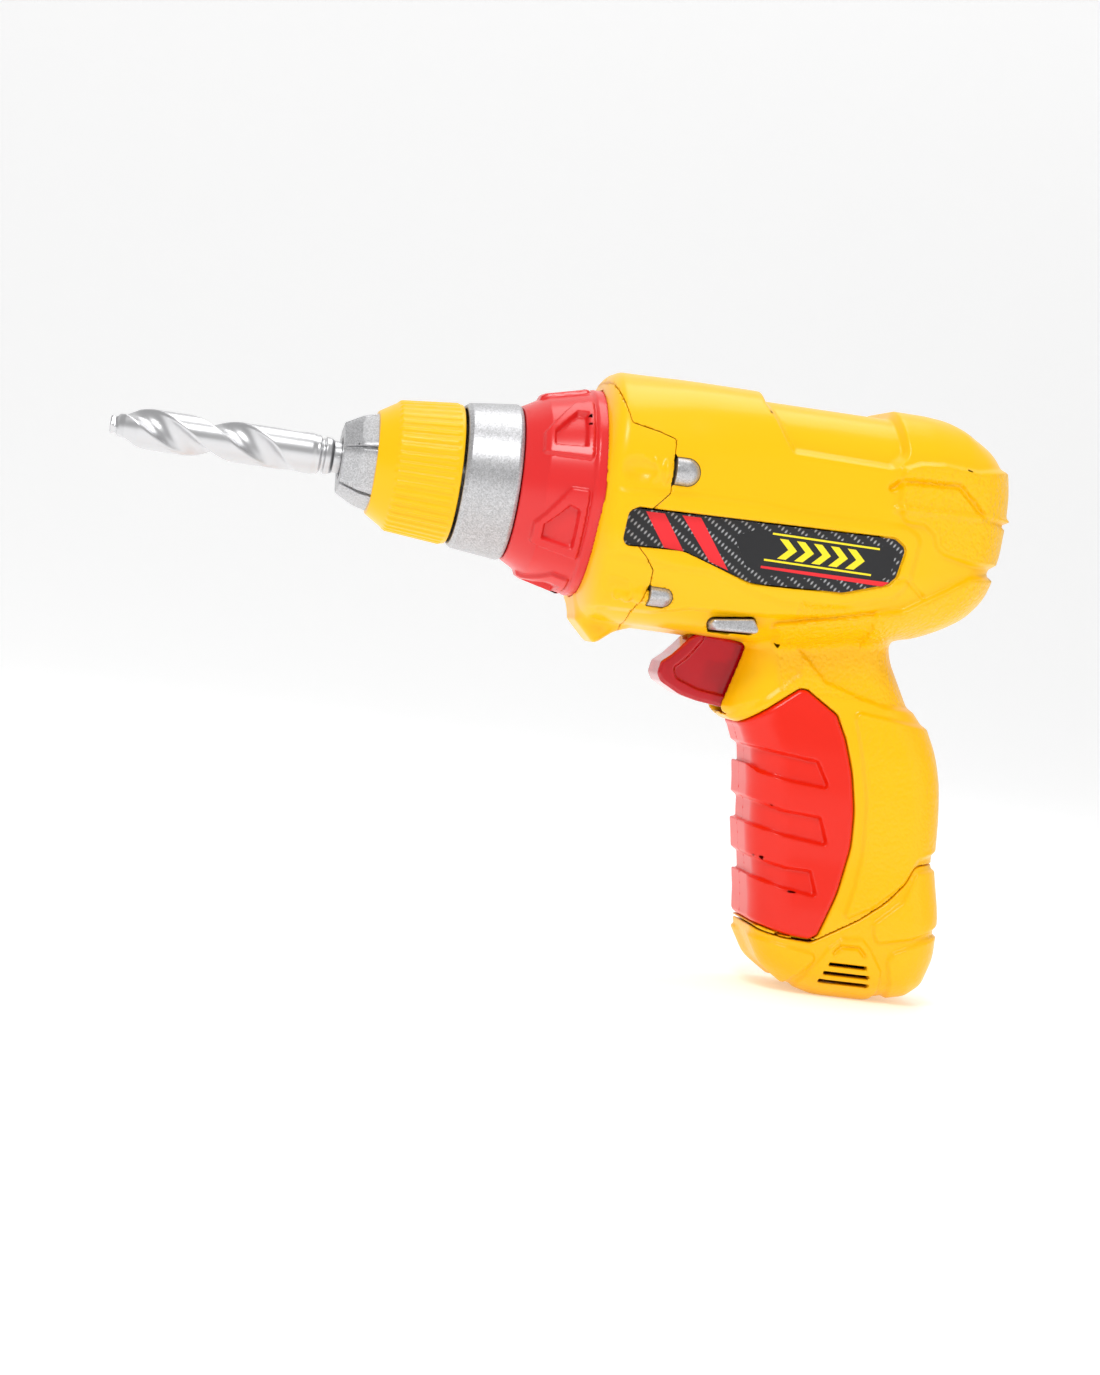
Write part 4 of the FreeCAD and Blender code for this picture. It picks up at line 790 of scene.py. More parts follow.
        s["saddle"] = Outline([(90.4, -27.0), (94.1, -31.6, 3), (101.2, -37.9, 3), (104.4, -40.8, 2),
                               (112.1, -43.0, 4), (121.0, -45.4, 4), (135.0, -45.2), (135.0, -20.0),
                               (90.4, -20.0)])
        s["palm"] = Outline([(113.0, -47.4, 1.5), (129.0, -49.0, 2), (150.0, -50.0), (150.0, -80.0),
                             (136.0, -84.5), (132.4, -91.5, 4), (125.0, -98.4, 10), (117.2, -102.8, 0.8),
                             (119.2, -94.0, 8), (120.2, -84.0, 20), (119.2, -70.0, 20), (115.8, -56.5, 10)])
        s["upright"] = Outline([(84.0, -30.0), (97.0, -26.0), (97.5, -39.0, 2), (85.5, -50.5),
                                (80.0, -54.0), (70, -50)])
        groove = Outline([(111.0, 11.8), (114.0, 14.0), (129.5, 15.0), (138.5, 7.6), (150, 7.0)],
                         closed=False)
        crest = Outline([(113.0, 6.6), (150.0, 8.2)], closed=False)
        tail = Outline([(124.0, -15.0), (118.0, -11.0), (108.0, -14.5), (104.0, -15.8)], closed=False)
        s["reliefs"] = [
            Relief(s["recess"], -2.4, 2.4),
            Relief(s["rim"], 0.9, 2.4),
            Relief(s["bumper"], 1.8, 1.9),
            Relief(s["low"], 2.2, 2.1),
            Relief(s["lower_flank"], -1.0, 1.2),
            Relief(groove, -1.3, 1.4, True),
            Relief(crest, 0.9, 1.5, True),
            Relief(tail, -0.5, 1.0, True),
        ]
        toe = Outline([(88, -107.6), (94.6, -110.3), (110.0, -112.6, 1), (111.2, -114.0, 1),
                       (106.6, -120.5, 2), (104.0, -130), (80, -130)])
        heel = Outline([(136.2, -88.0, 1), (133.0, -96.2, 3), (125.6, -103.0, 1), (126.2, -105.6, 1),
                        (127.4, -107.8, 1), (136.0, -105.8, 3), (150, -100.5), (150, -86)])
        low_heel = Outline([(150, -103.2), (139.4, -106.6), (132.4, -110.0, 1), (130.9, -112.2, 1),
                            (133.2, -119.0, 2), (136.4, -130), (150, -130)])
        arch = Outline([(108.5, -121.4, 1), (114.4, -110.6, 1), (117.6, -107.8, 1), (123.4, -107.4, 1),
                        (126.0, -110.0, 1), (129.6, -115.2), (130.8, -121.5), (129.0, -132), (110, -132)])
        brow = Outline([(116.2, -111.8), (117.8, -109.9), (122.6, -109.7), (124.4, -111.6)], closed=False)
        s["handle_reliefs"] = [
            Relief(s["saddle"], -1.2, 1.5),
            Relief(s["palm"], 1.1, 1.5),
            Relief(s["upright"], -0.8, 2.0),
            Relief(toe, 1.0, 1.3),
            Relief(heel, 1.0, 1.3),
            Relief(low_heel, 1.0, 1.3),
            Relief(arch, 0.8, 1.2),
            Relief(brow, -0.9, 0.9, True),
        ]
        s["windows"] = [Relief(Outline(corners), -1.5, 1.1) for corners in FINGER_WINDOWS]

    def barrel(self, p: Array, spare: float = 0.0) -> Array:
        """Field of the barrel with its reliefs, spare as in Relief.rise.

        Args:
            p: Points, n by 3, mm.
            spare: Room left round the form, as in Relief.rise.

        Returns:
            The field's value at each point.
        """
        x, y, z = split(p)
        s = self.shapes
        upper = z - np.interp(x, *s["top"])
        lower = np.interp(x, *s["bottom"]) - z
        side = np.abs(y) - np.interp(x, *s["half"])
        blend = ease((z + 6) / 12)
        radius = np.interp(x, *s["upper_r"]) * blend + np.interp(x, *s["lower_r"]) * (1 - blend)
        d = meet(np.maximum(upper, lower), side, radius)
        d = meet(d, 35.2 - x, self.lip)
        d = meet(d, (x - np.interp(z, *s["rear"])) * 0.93, 8.0)
        flank = ease((np.abs(y) - 1.0) / 10) * ease((x - 36) / 6)
        # the recess, the bumper and the low block run right across the middle, the others stay on the flanks
        for i, relief in enumerate(s["reliefs"]):
            share = 1.0 if i in (0, 2, 3) else flank
            d = d - relief.rise(x, z, spare) * share
        chin = meet(s["chin"].at(x, z), np.abs(y) - 8.5, 3.0)
        return join(d, chin, 2.0)

    def handle(self, p: Array, reliefs: bool = True, spare: float = 0.0) -> Array:
        """Field of the handle and base, with or without their reliefs, spare as in Relief.rise.

        Args:
            p: Points, n by 3, mm.
            reliefs: False leaves the reliefs off.
            spare: Room left round the form, as in Relief.rise.

        Returns:
            The field's value at each point.
        """
        x, y, z = split(p)
        s = self.shapes
        half = np.interp(z, *s["width"])
        d = meet(s["handle"].at(x, z), np.abs(y) - half, 10.0)
        if reliefs:
            for relief in s["handle_reliefs"]:
                d = d - relief.rise(x, z, spare) * ease((np.abs(y) - 2.0) / 8)
        return d

    def body(self, p: Array, spare: float = 0.0) -> Array:
        """Field of the whole housing before it is parted, spare as in Relief.rise."""
        return join(self.barrel(p, spare), self.handle(p, True, spare), 2.5)

    def knuckles(self, p: Array) -> Array:
        """Field of the banded humps ahead of the studs.

        Args:
            p: Points, n by 3, mm.

        Returns:
            The field's value at each point.
        """
        x, y, z = split(p)
        d = np.full(len(p), 50.0)
        for x0, x1, zc, r, yc in ((46.0, 52.0, 7.4, 3.6, 27.4), (44.2, 50.2, -24.4, 2.8, 24.6)):
            along = np.maximum(np.abs(x - (x0 + x1) / 2) - (x1 - x0) / 2, 0)
            bands = 0.35 * np.cos((x - x0) / (x1 - x0) * 2 * math.pi * 2)
            d = np.minimum(d, np.sqrt(along ** 2 + (np.abs(y) - yc) ** 2 + (z - zc) ** 2) - r + 0.3 + bands)
        return d

    def scoops(self, p: Array) -> Array:
        """Field of the teardrop hollows ahead of the humps.

        Args:
            p: Points, n by 3, mm.

        Returns:
            The field's value at each point.
        """
        x, y, z = split(p)
        d = np.full(len(p), 50.0)
        for xc, zc, length, r, yc in ((43.6, 7.0, 5.0, 3.6, 31.3), (41.4, -24.4, 4.6, 2.9, 27.3)):
            k = np.sqrt(((x - xc) / length) ** 2 + ((np.abs(y) - yc) / (r * 0.8)) ** 2 + ((z - zc) / r) ** 2)
            d = np.minimum(d, (k - 1) * r * 0.8)
        return d

    def skin(self, p: Array) -> Array:
        """Field of the outer form of both halves and the nose cover, pockets included.

        Args:
            p: Points, n by 3, mm.

        Returns:
            The field's value at each point.
        """
        x, y, z = split(p)
        s = self.shapes
        d = join(self.body(p), self.knuckles(p), 0.8)
        d = meet(d, -self.scoops(p), 1.0)
        pocket = np.maximum(s["label"].at(x, z) - 0.4, self.label_floor - np.abs(y))
        d = meet(d, -pocket, 0.35)
        grip_room = np.maximum(s["grip"].at(x, z) - 0.3, -self.handle(p, False) - self.grip_wall)
        d = meet(d, -grip_room, 0.4)
        return d

    def openings(self, p: Array) -> Array:
        """Field of what the trigger, button, studs and light ring need cut away.

        Args:
            p: Points, n by 3, mm.

        Returns:
            The field's value at each point.
        """
        x, y, z = split(p)
        s = self.shapes
        r = np.hypot(y, z)
        d = np.maximum(s["button"].at(x, z) - 0.35, 8.0 - np.abs(y))
        trigger = np.maximum(np.maximum(np.abs(y) - 7.3, 67.0 - x), x - 96.0)
        fall = (x - 67.0) * math.tan(math.radians(TRIGGER_DIP))
        trigger = np.maximum(trigger, np.maximum(z + 31.6 + fall, -51.2 - fall - z))
        d = np.minimum(d, trigger)
        d = np.minimum(d, np.maximum(r - self.bore, x - 41.5))
        d = np.minimum(d, studs_field(p) - 0.12)
        return d

    def common_limits(self, p: Array) -> Array:
        """Field of the wall's inside and the openings, as cuts.

        Args:
            p: Points, n by 3, mm.

        Returns:
            The field's value at each point.
        """
        x, _, z = split(p)
        behind_grip = self.grip_wall * ease((3.5 - self.shapes["grip"].at(x, z)) / 1.5)
        hollow = np.maximum(self.body(p, self.wall) + self.wall + behind_grip, 1.5 - self.scoops(p))
        return np.maximum(-hollow, -self.openings(p))

    def half_limits(self, side: Side) -> Field:
        """Cuts that leave one half of the housing.

        Args:
            side: The flank.

        Returns:
            The field.
        """
        def cuts(p: Array) -> Array:
            """Field of the cuts.

            Args:
                p: Points, n by 3, mm.

            Returns:
                The field's value at each point.
            """
            x, y, z = split(p)
            s = self.shapes
            d = self.common_limits(p)
            if side is Side.RIGHT:
                shaft = self.screw_shafts(p)
                bossed = np.where(y > 0.5, np.minimum(d, np.maximum(shaft - self.boss, -self.openings(p))), d)
                d = np.maximum(bossed, np.minimum(self.head_room - shaft, y - self.head_seat))
            d = np.maximum(d, -y * side.value + self.seam * 0.5)
            d = np.maximum(d, -s["nose"].at(x, z) + self.seam)
            return np.maximum(d, -s["base"].at(x, z) + self.seam * 1.6)
        return cuts

    def screw_shafts(self, p: Array) -> Array:
        """Distance from the nearest housing screw's axis."""
        x, _, z = split(p)
        return np.min([np.hypot(x - a, z - b) for a, b in SCREWS], axis=0)

    def nose_limits(self, p: Array) -> Array:
        """Cuts that leave the nose cover."""
        x, _, z = split(p)
        return np.maximum(self.common_limits(p), self.shapes["nose"].at(x, z) + self.seam)

    def cover_skin(self, p: Array) -> Array:
        """Field of the battery cover: the base with a softened edge and three slots.

        Args:
            p: Points, n by 3, mm.

        Returns:
            The field's value at each point.
        """
        x, y, z = split(p)
        d = meet(self.handle(p), self.shapes["base"].at(x, z) + self.seam * 1.6, 0.7)
        for zc, x0, x1 in ((-114.9, 115.2, 125.7), (-117.4, 114.2, 126.9), (-119.8, 113.5, 127.5)):
            slot = np.maximum(np.abs(z - zc) - 0.5, np.maximum(x0 - x, x - x1))
            d = meet(d, -slot, 0.2)
        return d

    def cover_limits(self, p: Array) -> Array:
        """Cuts that leave the battery cover's wall."""
        return -(self.handle(p, False) + self.wall)

    def grip_skin(self, p: Array) -> Array:
        """Field of the soft grips, proud of the handle, with sunk finger windows.

        Args:
            p: Points, n by 3, mm.

        Returns:
            The field's value at each point.
        """
        x, y, z = split(p)
        s = self.shapes
        d = self.handle(p, False) - 0.45
        for relief in s["windows"]:
            d = d - relief.rise(x, z)
        return meet(d, s["grip"].at(x, z), 1.3)

    def grip_limits(self, side: Side) -> Field:
        """Cuts that leave one grip.

        Args:
            side: The flank.

        Returns:
            The field.
        """
        def cuts(p: Array) -> Array:
            """Field of the cuts."""
            return np.maximum(-(self.handle(p, False) + self.grip_wall - 0.15), -p[:, 1] * side.value + 0.04)
        return cuts

    def housing_grain(self, p: Array) -> Array:
        """Share of pebble grain on the housing: bumper, low block, saddle and palm panels.

        Args:
            p: Points, n by 3, mm.

        Returns:
            Share at each point, 0 to 1.
        """
        x, _, z = split(p)
        s = self.shapes
        share = np.zeros(len(p))
        for name in ("bumper", "low", "saddle", "palm"):
            share = np.maximum(share, ease(-s[name].at(x, z) / 1.5))
        return share * np.where(s["palm"].at(x, z) < 0, 0.45, 1.0)

    def build(self) -> None:
        """Build halves, nose cover, battery cover and grips."""
        self.prepare()
        for side, flank in ((Side.LEFT, "left"), (Side.RIGHT, "right")):
            low_y, high_y = (-33, 1) if side is Side.LEFT else (-1, 33)
            Piece(f"housing_{flank}_shell", self.skin, (35, low_y, -112), (149, high_y, 36), "housing",
                  [f"housing_{flank}"], "yellow_shell", YELLOW, self.half_limits(side), self.step,
                  self.housing_grain).build()
            low_y, high_y = (-20, 1) if side is Side.LEFT else (-1, 20)
            Piece(f"grip_{flank}_pad", self.grip_skin, (80, low_y, -111), (119, high_y, -42), "housing",
                  [f"grip_{flank}"], "orange_grip", ORANGE, self.grip_limits(side), 0.5).build()
        Piece("nose_shell", self.skin, (33, -33, -41), (54, 33, 35), "housing", ["nose_cover"],
              "yellow_shell", YELLOW, self.nose_limits, 0.55).build()
        Piece("battery_cover_shell", self.cover_skin, (88, -20, -126), (148, 20, -83), "housing",
              ["battery_cover"], "yellow_shell", YELLOW, self.cover_limits, 0.55,
              lambda p: np.full(len(p), 0.25)).build()


def studs_field(p: Array) -> Array:
    """Field of the silver studs on both flanks.

    Args:
        p: Points, n by 3, mm.

    Returns:
        The field's value at each point.
    """
    x, y, z = split(p)
    d = np.full(len(p), 50.0)
    for x0, length, zc, rz, yc, ry in ((53.0, 6.9, 7.9, 4.0, 26.9, 4.0), (51.2, 6.6, -24.3, 2.9, 23.4, 4.9)):
        ax = np.maximum(x - (x0 + length - rz), 0)
        k = np.sqrt((ax / rz) ** 2 + ((np.abs(y) - yc) / ry) ** 2 + ((z - zc) / rz) ** 2)
        d = np.minimum(d, np.maximum((k - 1) * rz * 0.9, x0 - x))
    return d


# ------------------------------------------------------------------ turned pieces at the nose
@dataclass(frozen=True)
class NoseParts:
    """Chuck, bit, silver band and light ring, all round the spindle axis.

    Attributes:
        ribs: Ribs round the sleeve.
        rib: Height of a rib.
        facets: Flats on the chuck's nose.
        pads: Raised pads round the light ring.
        pad_rise: How far the pads stand out.
        pad_sink: How far the windows in them are sunk.
        bit_r: Outer radius of the twist bit.
        pitch: Length of one turn of the bit's flutes.
    """

    ribs: int = 44
    rib: float = 0.38
    facets: int = 6
    pads: int = 6
    pad_rise: float = 0.9
    pad_sink: float = 0.7
    bit_r: float = 5.35
    pitch: float = 45.0

    def profile(self, corners: Sequence[Sequence[float]], radius: float = 0.3) -> Field:
        """Field of a form turned about the axis from an (x, r) outline.

        Args:
            corners: The outline's corners, as rounded() takes them.
            radius: Radius of the corners that name none.

        Returns:
            The field.
        """
        outline = Outline(corners, radius, 6.0, 0.12)

        def turned(p: Array) -> Array:
            """Field of the turned form."""
            x, y, z = split(p)
            return outline.at(x, np.hypot(y, z))
        return turned

    def sleeve(self) -> Field:
        """Field of the ribbed yellow sleeve.

        Returns:
            The field.
        """
        base = self.profile([(-21.9, 9.6), (-21.9, 13.6, 0.5), (-16.6, 16.9, 1.6), (-0.1, 18.55, 0.6),
                             (-0.1, 16.4), (-16.0, 14.6), (-19.6, 12.0), (-20.0, 9.6)])

        def ribbed(p: Array) -> Array:
            """Field with ribs.

            Args:
                p: Points, n by 3, mm.

            Returns:
                The field's value at each point.
            """
            x, y, z = split(p)
            angle = np.arctan2(z, y)
            wave = 0.5 + 0.5 * np.cos(angle * self.ribs)
            band = ease((x + 17.6) / 1.6) * ease((-0.9 - x) / 1.0)
            return base(p) - self.rib * ease(wave * 1.3 - 0.15) * band
        return ribbed

    def nose(self) -> Field:
        """Field of the faceted silver nose.

        Returns:
            The field.
        """
        cone = self.profile([(-30.3, 5.6), (-30.3, 9.4, 0.6), (-25.4, 12.0, 1.0), (-21.3, 13.1),
                             (-21.3, 9.5), (-6.0, 9.5), (-6.0, 5.6)], 0.2)

        def faceted(p: Array) -> Array:
            """Field with flats and grooves.

            Args:
                p: Points, n by 3, mm.

            Returns:
                The field's value at each point.
            """
            x, y, z = split(p)
            r, angle = np.hypot(y, z), np.arctan2(z, y)
            step = 2 * math.pi / self.facets
            near = (angle / step + 0.25) % 1 - 0.5
            flat = r * np.cos(near * step) - np.interp(x, [-31, -26, -21], [8.3, 10.9, 12.2])
            d = meet(cone(p), flat, 0.35)
            groove = np.abs(r * np.sin((np.abs(near) - 0.5) * step)) - 0.42
            cut = np.maximum(groove, np.interp(x, [-31, -26, -21], [8.3, 10.6, 11.9]) - r)
            return meet(d, -cut, 0.25)
        return faceted

    def band(self) -> Field:
        """Field of the silver band."""
        return self.profile([(0.6, 17.6), (0.6, 18.5), (1.7, 19.3, 0.3), (14.0, 20.75, 0.4), (15.0, 20.2),
                             (15.0, 8.0), (13.2, 8.0), (13.2, 18.2)], 0.25)

    def lens(self) -> Field:
        """Field of the clear red light ring.

        Returns:
            The field.
        """
        base = self.profile([(15.3, 9.0), (15.3, 20.4, 0.8), (17.0, 21.3, 1.0), (21.4, 23.9, 1.2),
                             (32.4, 26.7, 0.5), (33.2, 27.5, 0.4), (38.4, 27.5), (38.4, 25.0), (33.5, 24.6),
                             (22.5, 21.6), (18.0, 18.9), (17.2, 9.0)], 0.3)

        frame_pad = Outline([(19.6, 7.4, 0.6), (32.0, 8.4, 0.6), (32.0, -9.6, 0.6), (27.4, -9.6, 0.6),
                             (19.6, 1.2, 0.6)])
        window = Outline([(22.2, 4.9, 0.4), (30.2, 5.4, 0.4), (30.2, -4.6, 0.4), (27.8, -5.4, 0.4),
                          (22.2, 0.9, 0.4)])

        def padded(p: Array) -> Array:
            """Field with raised pads, each with a sunk window.

            Args:
                p: Points, n by 3, mm.

            Returns:
                The field's value at each point.
            """
            x, y, z = split(p)
            r, angle = np.hypot(y, z), np.arctan2(z, y)
            step = 2 * math.pi / self.pads
            along = ((angle / step + 0.12) % 1 - 0.5) * step * 24.5
            high = frame_pad.at(x, along)
            rise = self.pad_rise * ease(0.5 - high / 0.7)
            rise = rise - (self.pad_rise + self.pad_sink) * ease(0.5 - window.at(x, along) / 0.8)
            return base(p) - rise * ease((r - 20) / 1.5)
        return padded

    def bit(self) -> Field:
        """Field of the twist bit with its shank, notched neck and tang.

        Returns:
            The field.
        """
        shaft = self.profile([(-37.6, 0.0), (-37.6, 5.0, 0.8), (-35.9, 5.15, 0.4), (-35.4, 4.3),
                              (-34.8, 4.3), (-34.3, 5.0), (-33.0, 4.8, 0.4), (-32.2, 4.2), (-30.0, 4.2),
                              (-30.0, 3.9), (-22.0, 3.9), (-22.0, 0.0)], 0.15)

        def twisted(p: Array) -> Array:
            """Field of the flutes, tip and shank.

            Args:
                p: Points, n by 3, mm.

            Returns:
                The field's value at each point.
            """
            x, y, z = split(p)
            turn = 2 * math.pi * (x + 38.0) / self.pitch + 0.5
            c, s = np.cos(turn), np.sin(turn)
            u, v = y * c + z * s, z * c - y * s
            r = np.hypot(u, v)
            fade = ease((x + 50.0) / 12.0)
            outer = r - self.bit_r * np.interp(x, [-90, -86.5, -83], [0.35, 0.8, 1.0])
            flute_at = 7.3 + 3.4 * fade
            flute = 4.6 - np.hypot(u * 0.72, np.abs(v) - flute_at)
            d = meet(outer, flute, 0.7) * 0.86
            d = meet(d, np.abs(x + 62.8) - 25.6, 0.8)
            tip = np.maximum(np.abs(u) - 2.2, np.abs(v) - 1.5)
            tip = meet(tip, np.abs(x + 87.6) - 2.55, 0.5)
            return join(join(d, tip, 0.7), shaft(p), 0.8)
        return twisted

    def build(self) -> None:
        """Build the pieces at the nose."""
        Piece("bit_body", self.bit(), (-91, -6, -6), (-21, 6, 6), "bit", ["twist_bit"], "silver_plastic",
              SATIN, None, 0.3).build()
        Piece("chuck_nose_body", self.nose(), (-31, -15, -15), (-5.5, 15, 15), "chuck", ["chuck_nose"],
              "silver_plastic", SILVER, None, 0.36).build()
        Piece("sleeve_body", self.sleeve(), (-22.5, -20, -20), (0.5, 20, 20), "chuck", ["chuck_sleeve"],
              "yellow_shell", YELLOW, None, 0.36, lambda p: np.zeros(len(p))).build()
        Piece("band_body", self.band(), (0, -21.5, -21.5), (15.6, 21.5, 21.5), "housing", ["silver_band"],
              "silver_plastic", SILVER, None, 0.45).build()
        Piece("lens_body", self.lens(), (15, -29, -29), (39, 29, 29), "housing", ["light_ring"],
              "clear_red", RED_CLEAR, None, 0.5).build()


# ------------------------------------------------------------------ trigger, button and studs
@dataclass(frozen=True)
class Controls:
    """Trigger, direction button and the silver studs.

    Attributes:
        half_width: Half the trigger's width.
        dish: How far the trigger's flanks are sunk inside their rim.
        turns: Turns of the return spring.
        coil_radius: Radius of the spring's middle line.
        coil_wire: Radius of the spring's wire.
    """

    half_width: float = 6.9
    dish: float = 1.3
    turns: int = 7
    coil_radius: float = 2.2
    coil_wire: float = 0.35

    def trigger(self) -> Field:
        """Field of the hooked, rimmed trigger.

        Returns:
            The field.
        """
        outer = Outline([(70.4, -32.2), (68.0, -33.9), (65.9, -36.5), (63.6, -39.1, 3), (61.0, -41.3, 1),
                         (60.4, -44.6, 2), (61.6, -46.6, 2), (67.1, -49.4, 6), (72.0, -50.5, 6),
                         (82.0, -51.6), (85.6, -33.6)])
        inner = Outline([(72.4, -30.0), (71.4, -34.4, 3), (68.2, -39.0, 8), (64.6, -42.6, 1.2),
                         (65.6, -45.2, 2), (71.8, -47.4, 8), (90.0, -49.4), (90.0, -30.0)])

        def rimmed(p: Array) -> Array:
            """Field with sunk flanks and a grooved front.

            Args:
                p: Points, n by 3, mm.

            Returns:
                The field's value at each point.
            """
            x, y, z = split(p)
            flank = np.abs(y) - self.half_width + self.dish * ease(0.5 - inner.at(x, z) / 0.9)
            d = meet(outer.at(x, z), flank, 0.9)
            d = meet(d, -np.maximum(np.hypot(y, z + 42.7) - 3.5, 74.0 - x), 0.2)
            return d
        return rimmed

    def button(self) -> Field:
        """Field of the direction button that runs through both flanks.

        Returns:
            The field.
        """
        shape = Outline([(68.2, -28.5, 1.3), (80.0, -26.9, 1.0), (82.3, -30.6, 1.0),
                         (70.2, -31.2, 1.6)], pitch=0.15)

        def through(p: Array) -> Array:
            """Field of the button."""
            x, y, z = split(p)
            return meet(shape.at(x, z), np.maximum(-25.3 - y, y - 22.0), 0.8)
        return through

    def spring(self) -> None:
        """Build the return spring as a fixed coil; on the real drill the trigger shortens it against the
        housing.
        """
        low, high = (np.array(end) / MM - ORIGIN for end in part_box("trigger_spring"))
        middle = (low + high) / 2
        run = np.linspace(0, 1, self.turns * 24 + 1)
        ring = np.linspace(0, 2 * np.pi, 12, endpoint=False)
        turn = 2 * np.pi * self.turns * run[:, None]
        reach = self.coil_radius + self.coil_wire * np.cos(ring)
        along = low[0] + self.coil_wire + (high[0] - low[0] - 2 * self.coil_wire) * run[:, None]
        points = np.stack([along + self.coil_wire * np.sin(ring), middle[1] + reach * np.cos(turn),
                           middle[2] + reach * np.sin(turn)], axis=-1).reshape(-1, 3)
        round_wire = np.arange(len(ring))
        first = np.arange(len(run) - 1)[:, None] * len(ring) + round_wire
        second = np.arange(len(run) - 1)[:, None] * len(ring) + (round_wire + 1) % len(ring)
        quads = np.stack([first, second, second + len(ring), first + len(ring)], axis=-1).reshape(-1, 4)
        cap = np.array([(k, k + 1, 10 - k, 11 - k) for k in range(len(ring) // 2 - 1)])
        quads = np.concatenate([quads[:, ::-1], cap, cap[:, ::-1] + len(points) - len(ring)])
        made = mesh_object("trigger_spring_coil", points, quads)
        made.data.materials.append(STEEL.material())
        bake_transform(made)
        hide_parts("trigger_spring")

    def build(self) -> None:
        """Build the controls."""
        self.spring()
        Piece("trigger_body_clear", self.trigger(), (59, -8, -53), (87, 8, -31), "trigger_body",
              ["trigger"], "clear_red", RED_TRIGGER, None, 0.4).build()
        Piece("button_body", self.button(), (67, -27, -33), (83.5, 24, -25), "direction_body",
              ["direction_button"], "silver_plastic", SILVER, None, 0.4).build()
        Piece("studs_upper_caps", studs_field, (52, -31, 2), (61, 31, 14), "housing", ["studs_upper"],
              "silver_plastic", SILVER, None, 0.32).build()
        Piece("studs_lower_caps", studs_field, (50, -31, -29), (59, 31, -19), "housing", ["studs_lower"],
              "silver_plastic", SILVER, None, 0.32).build()


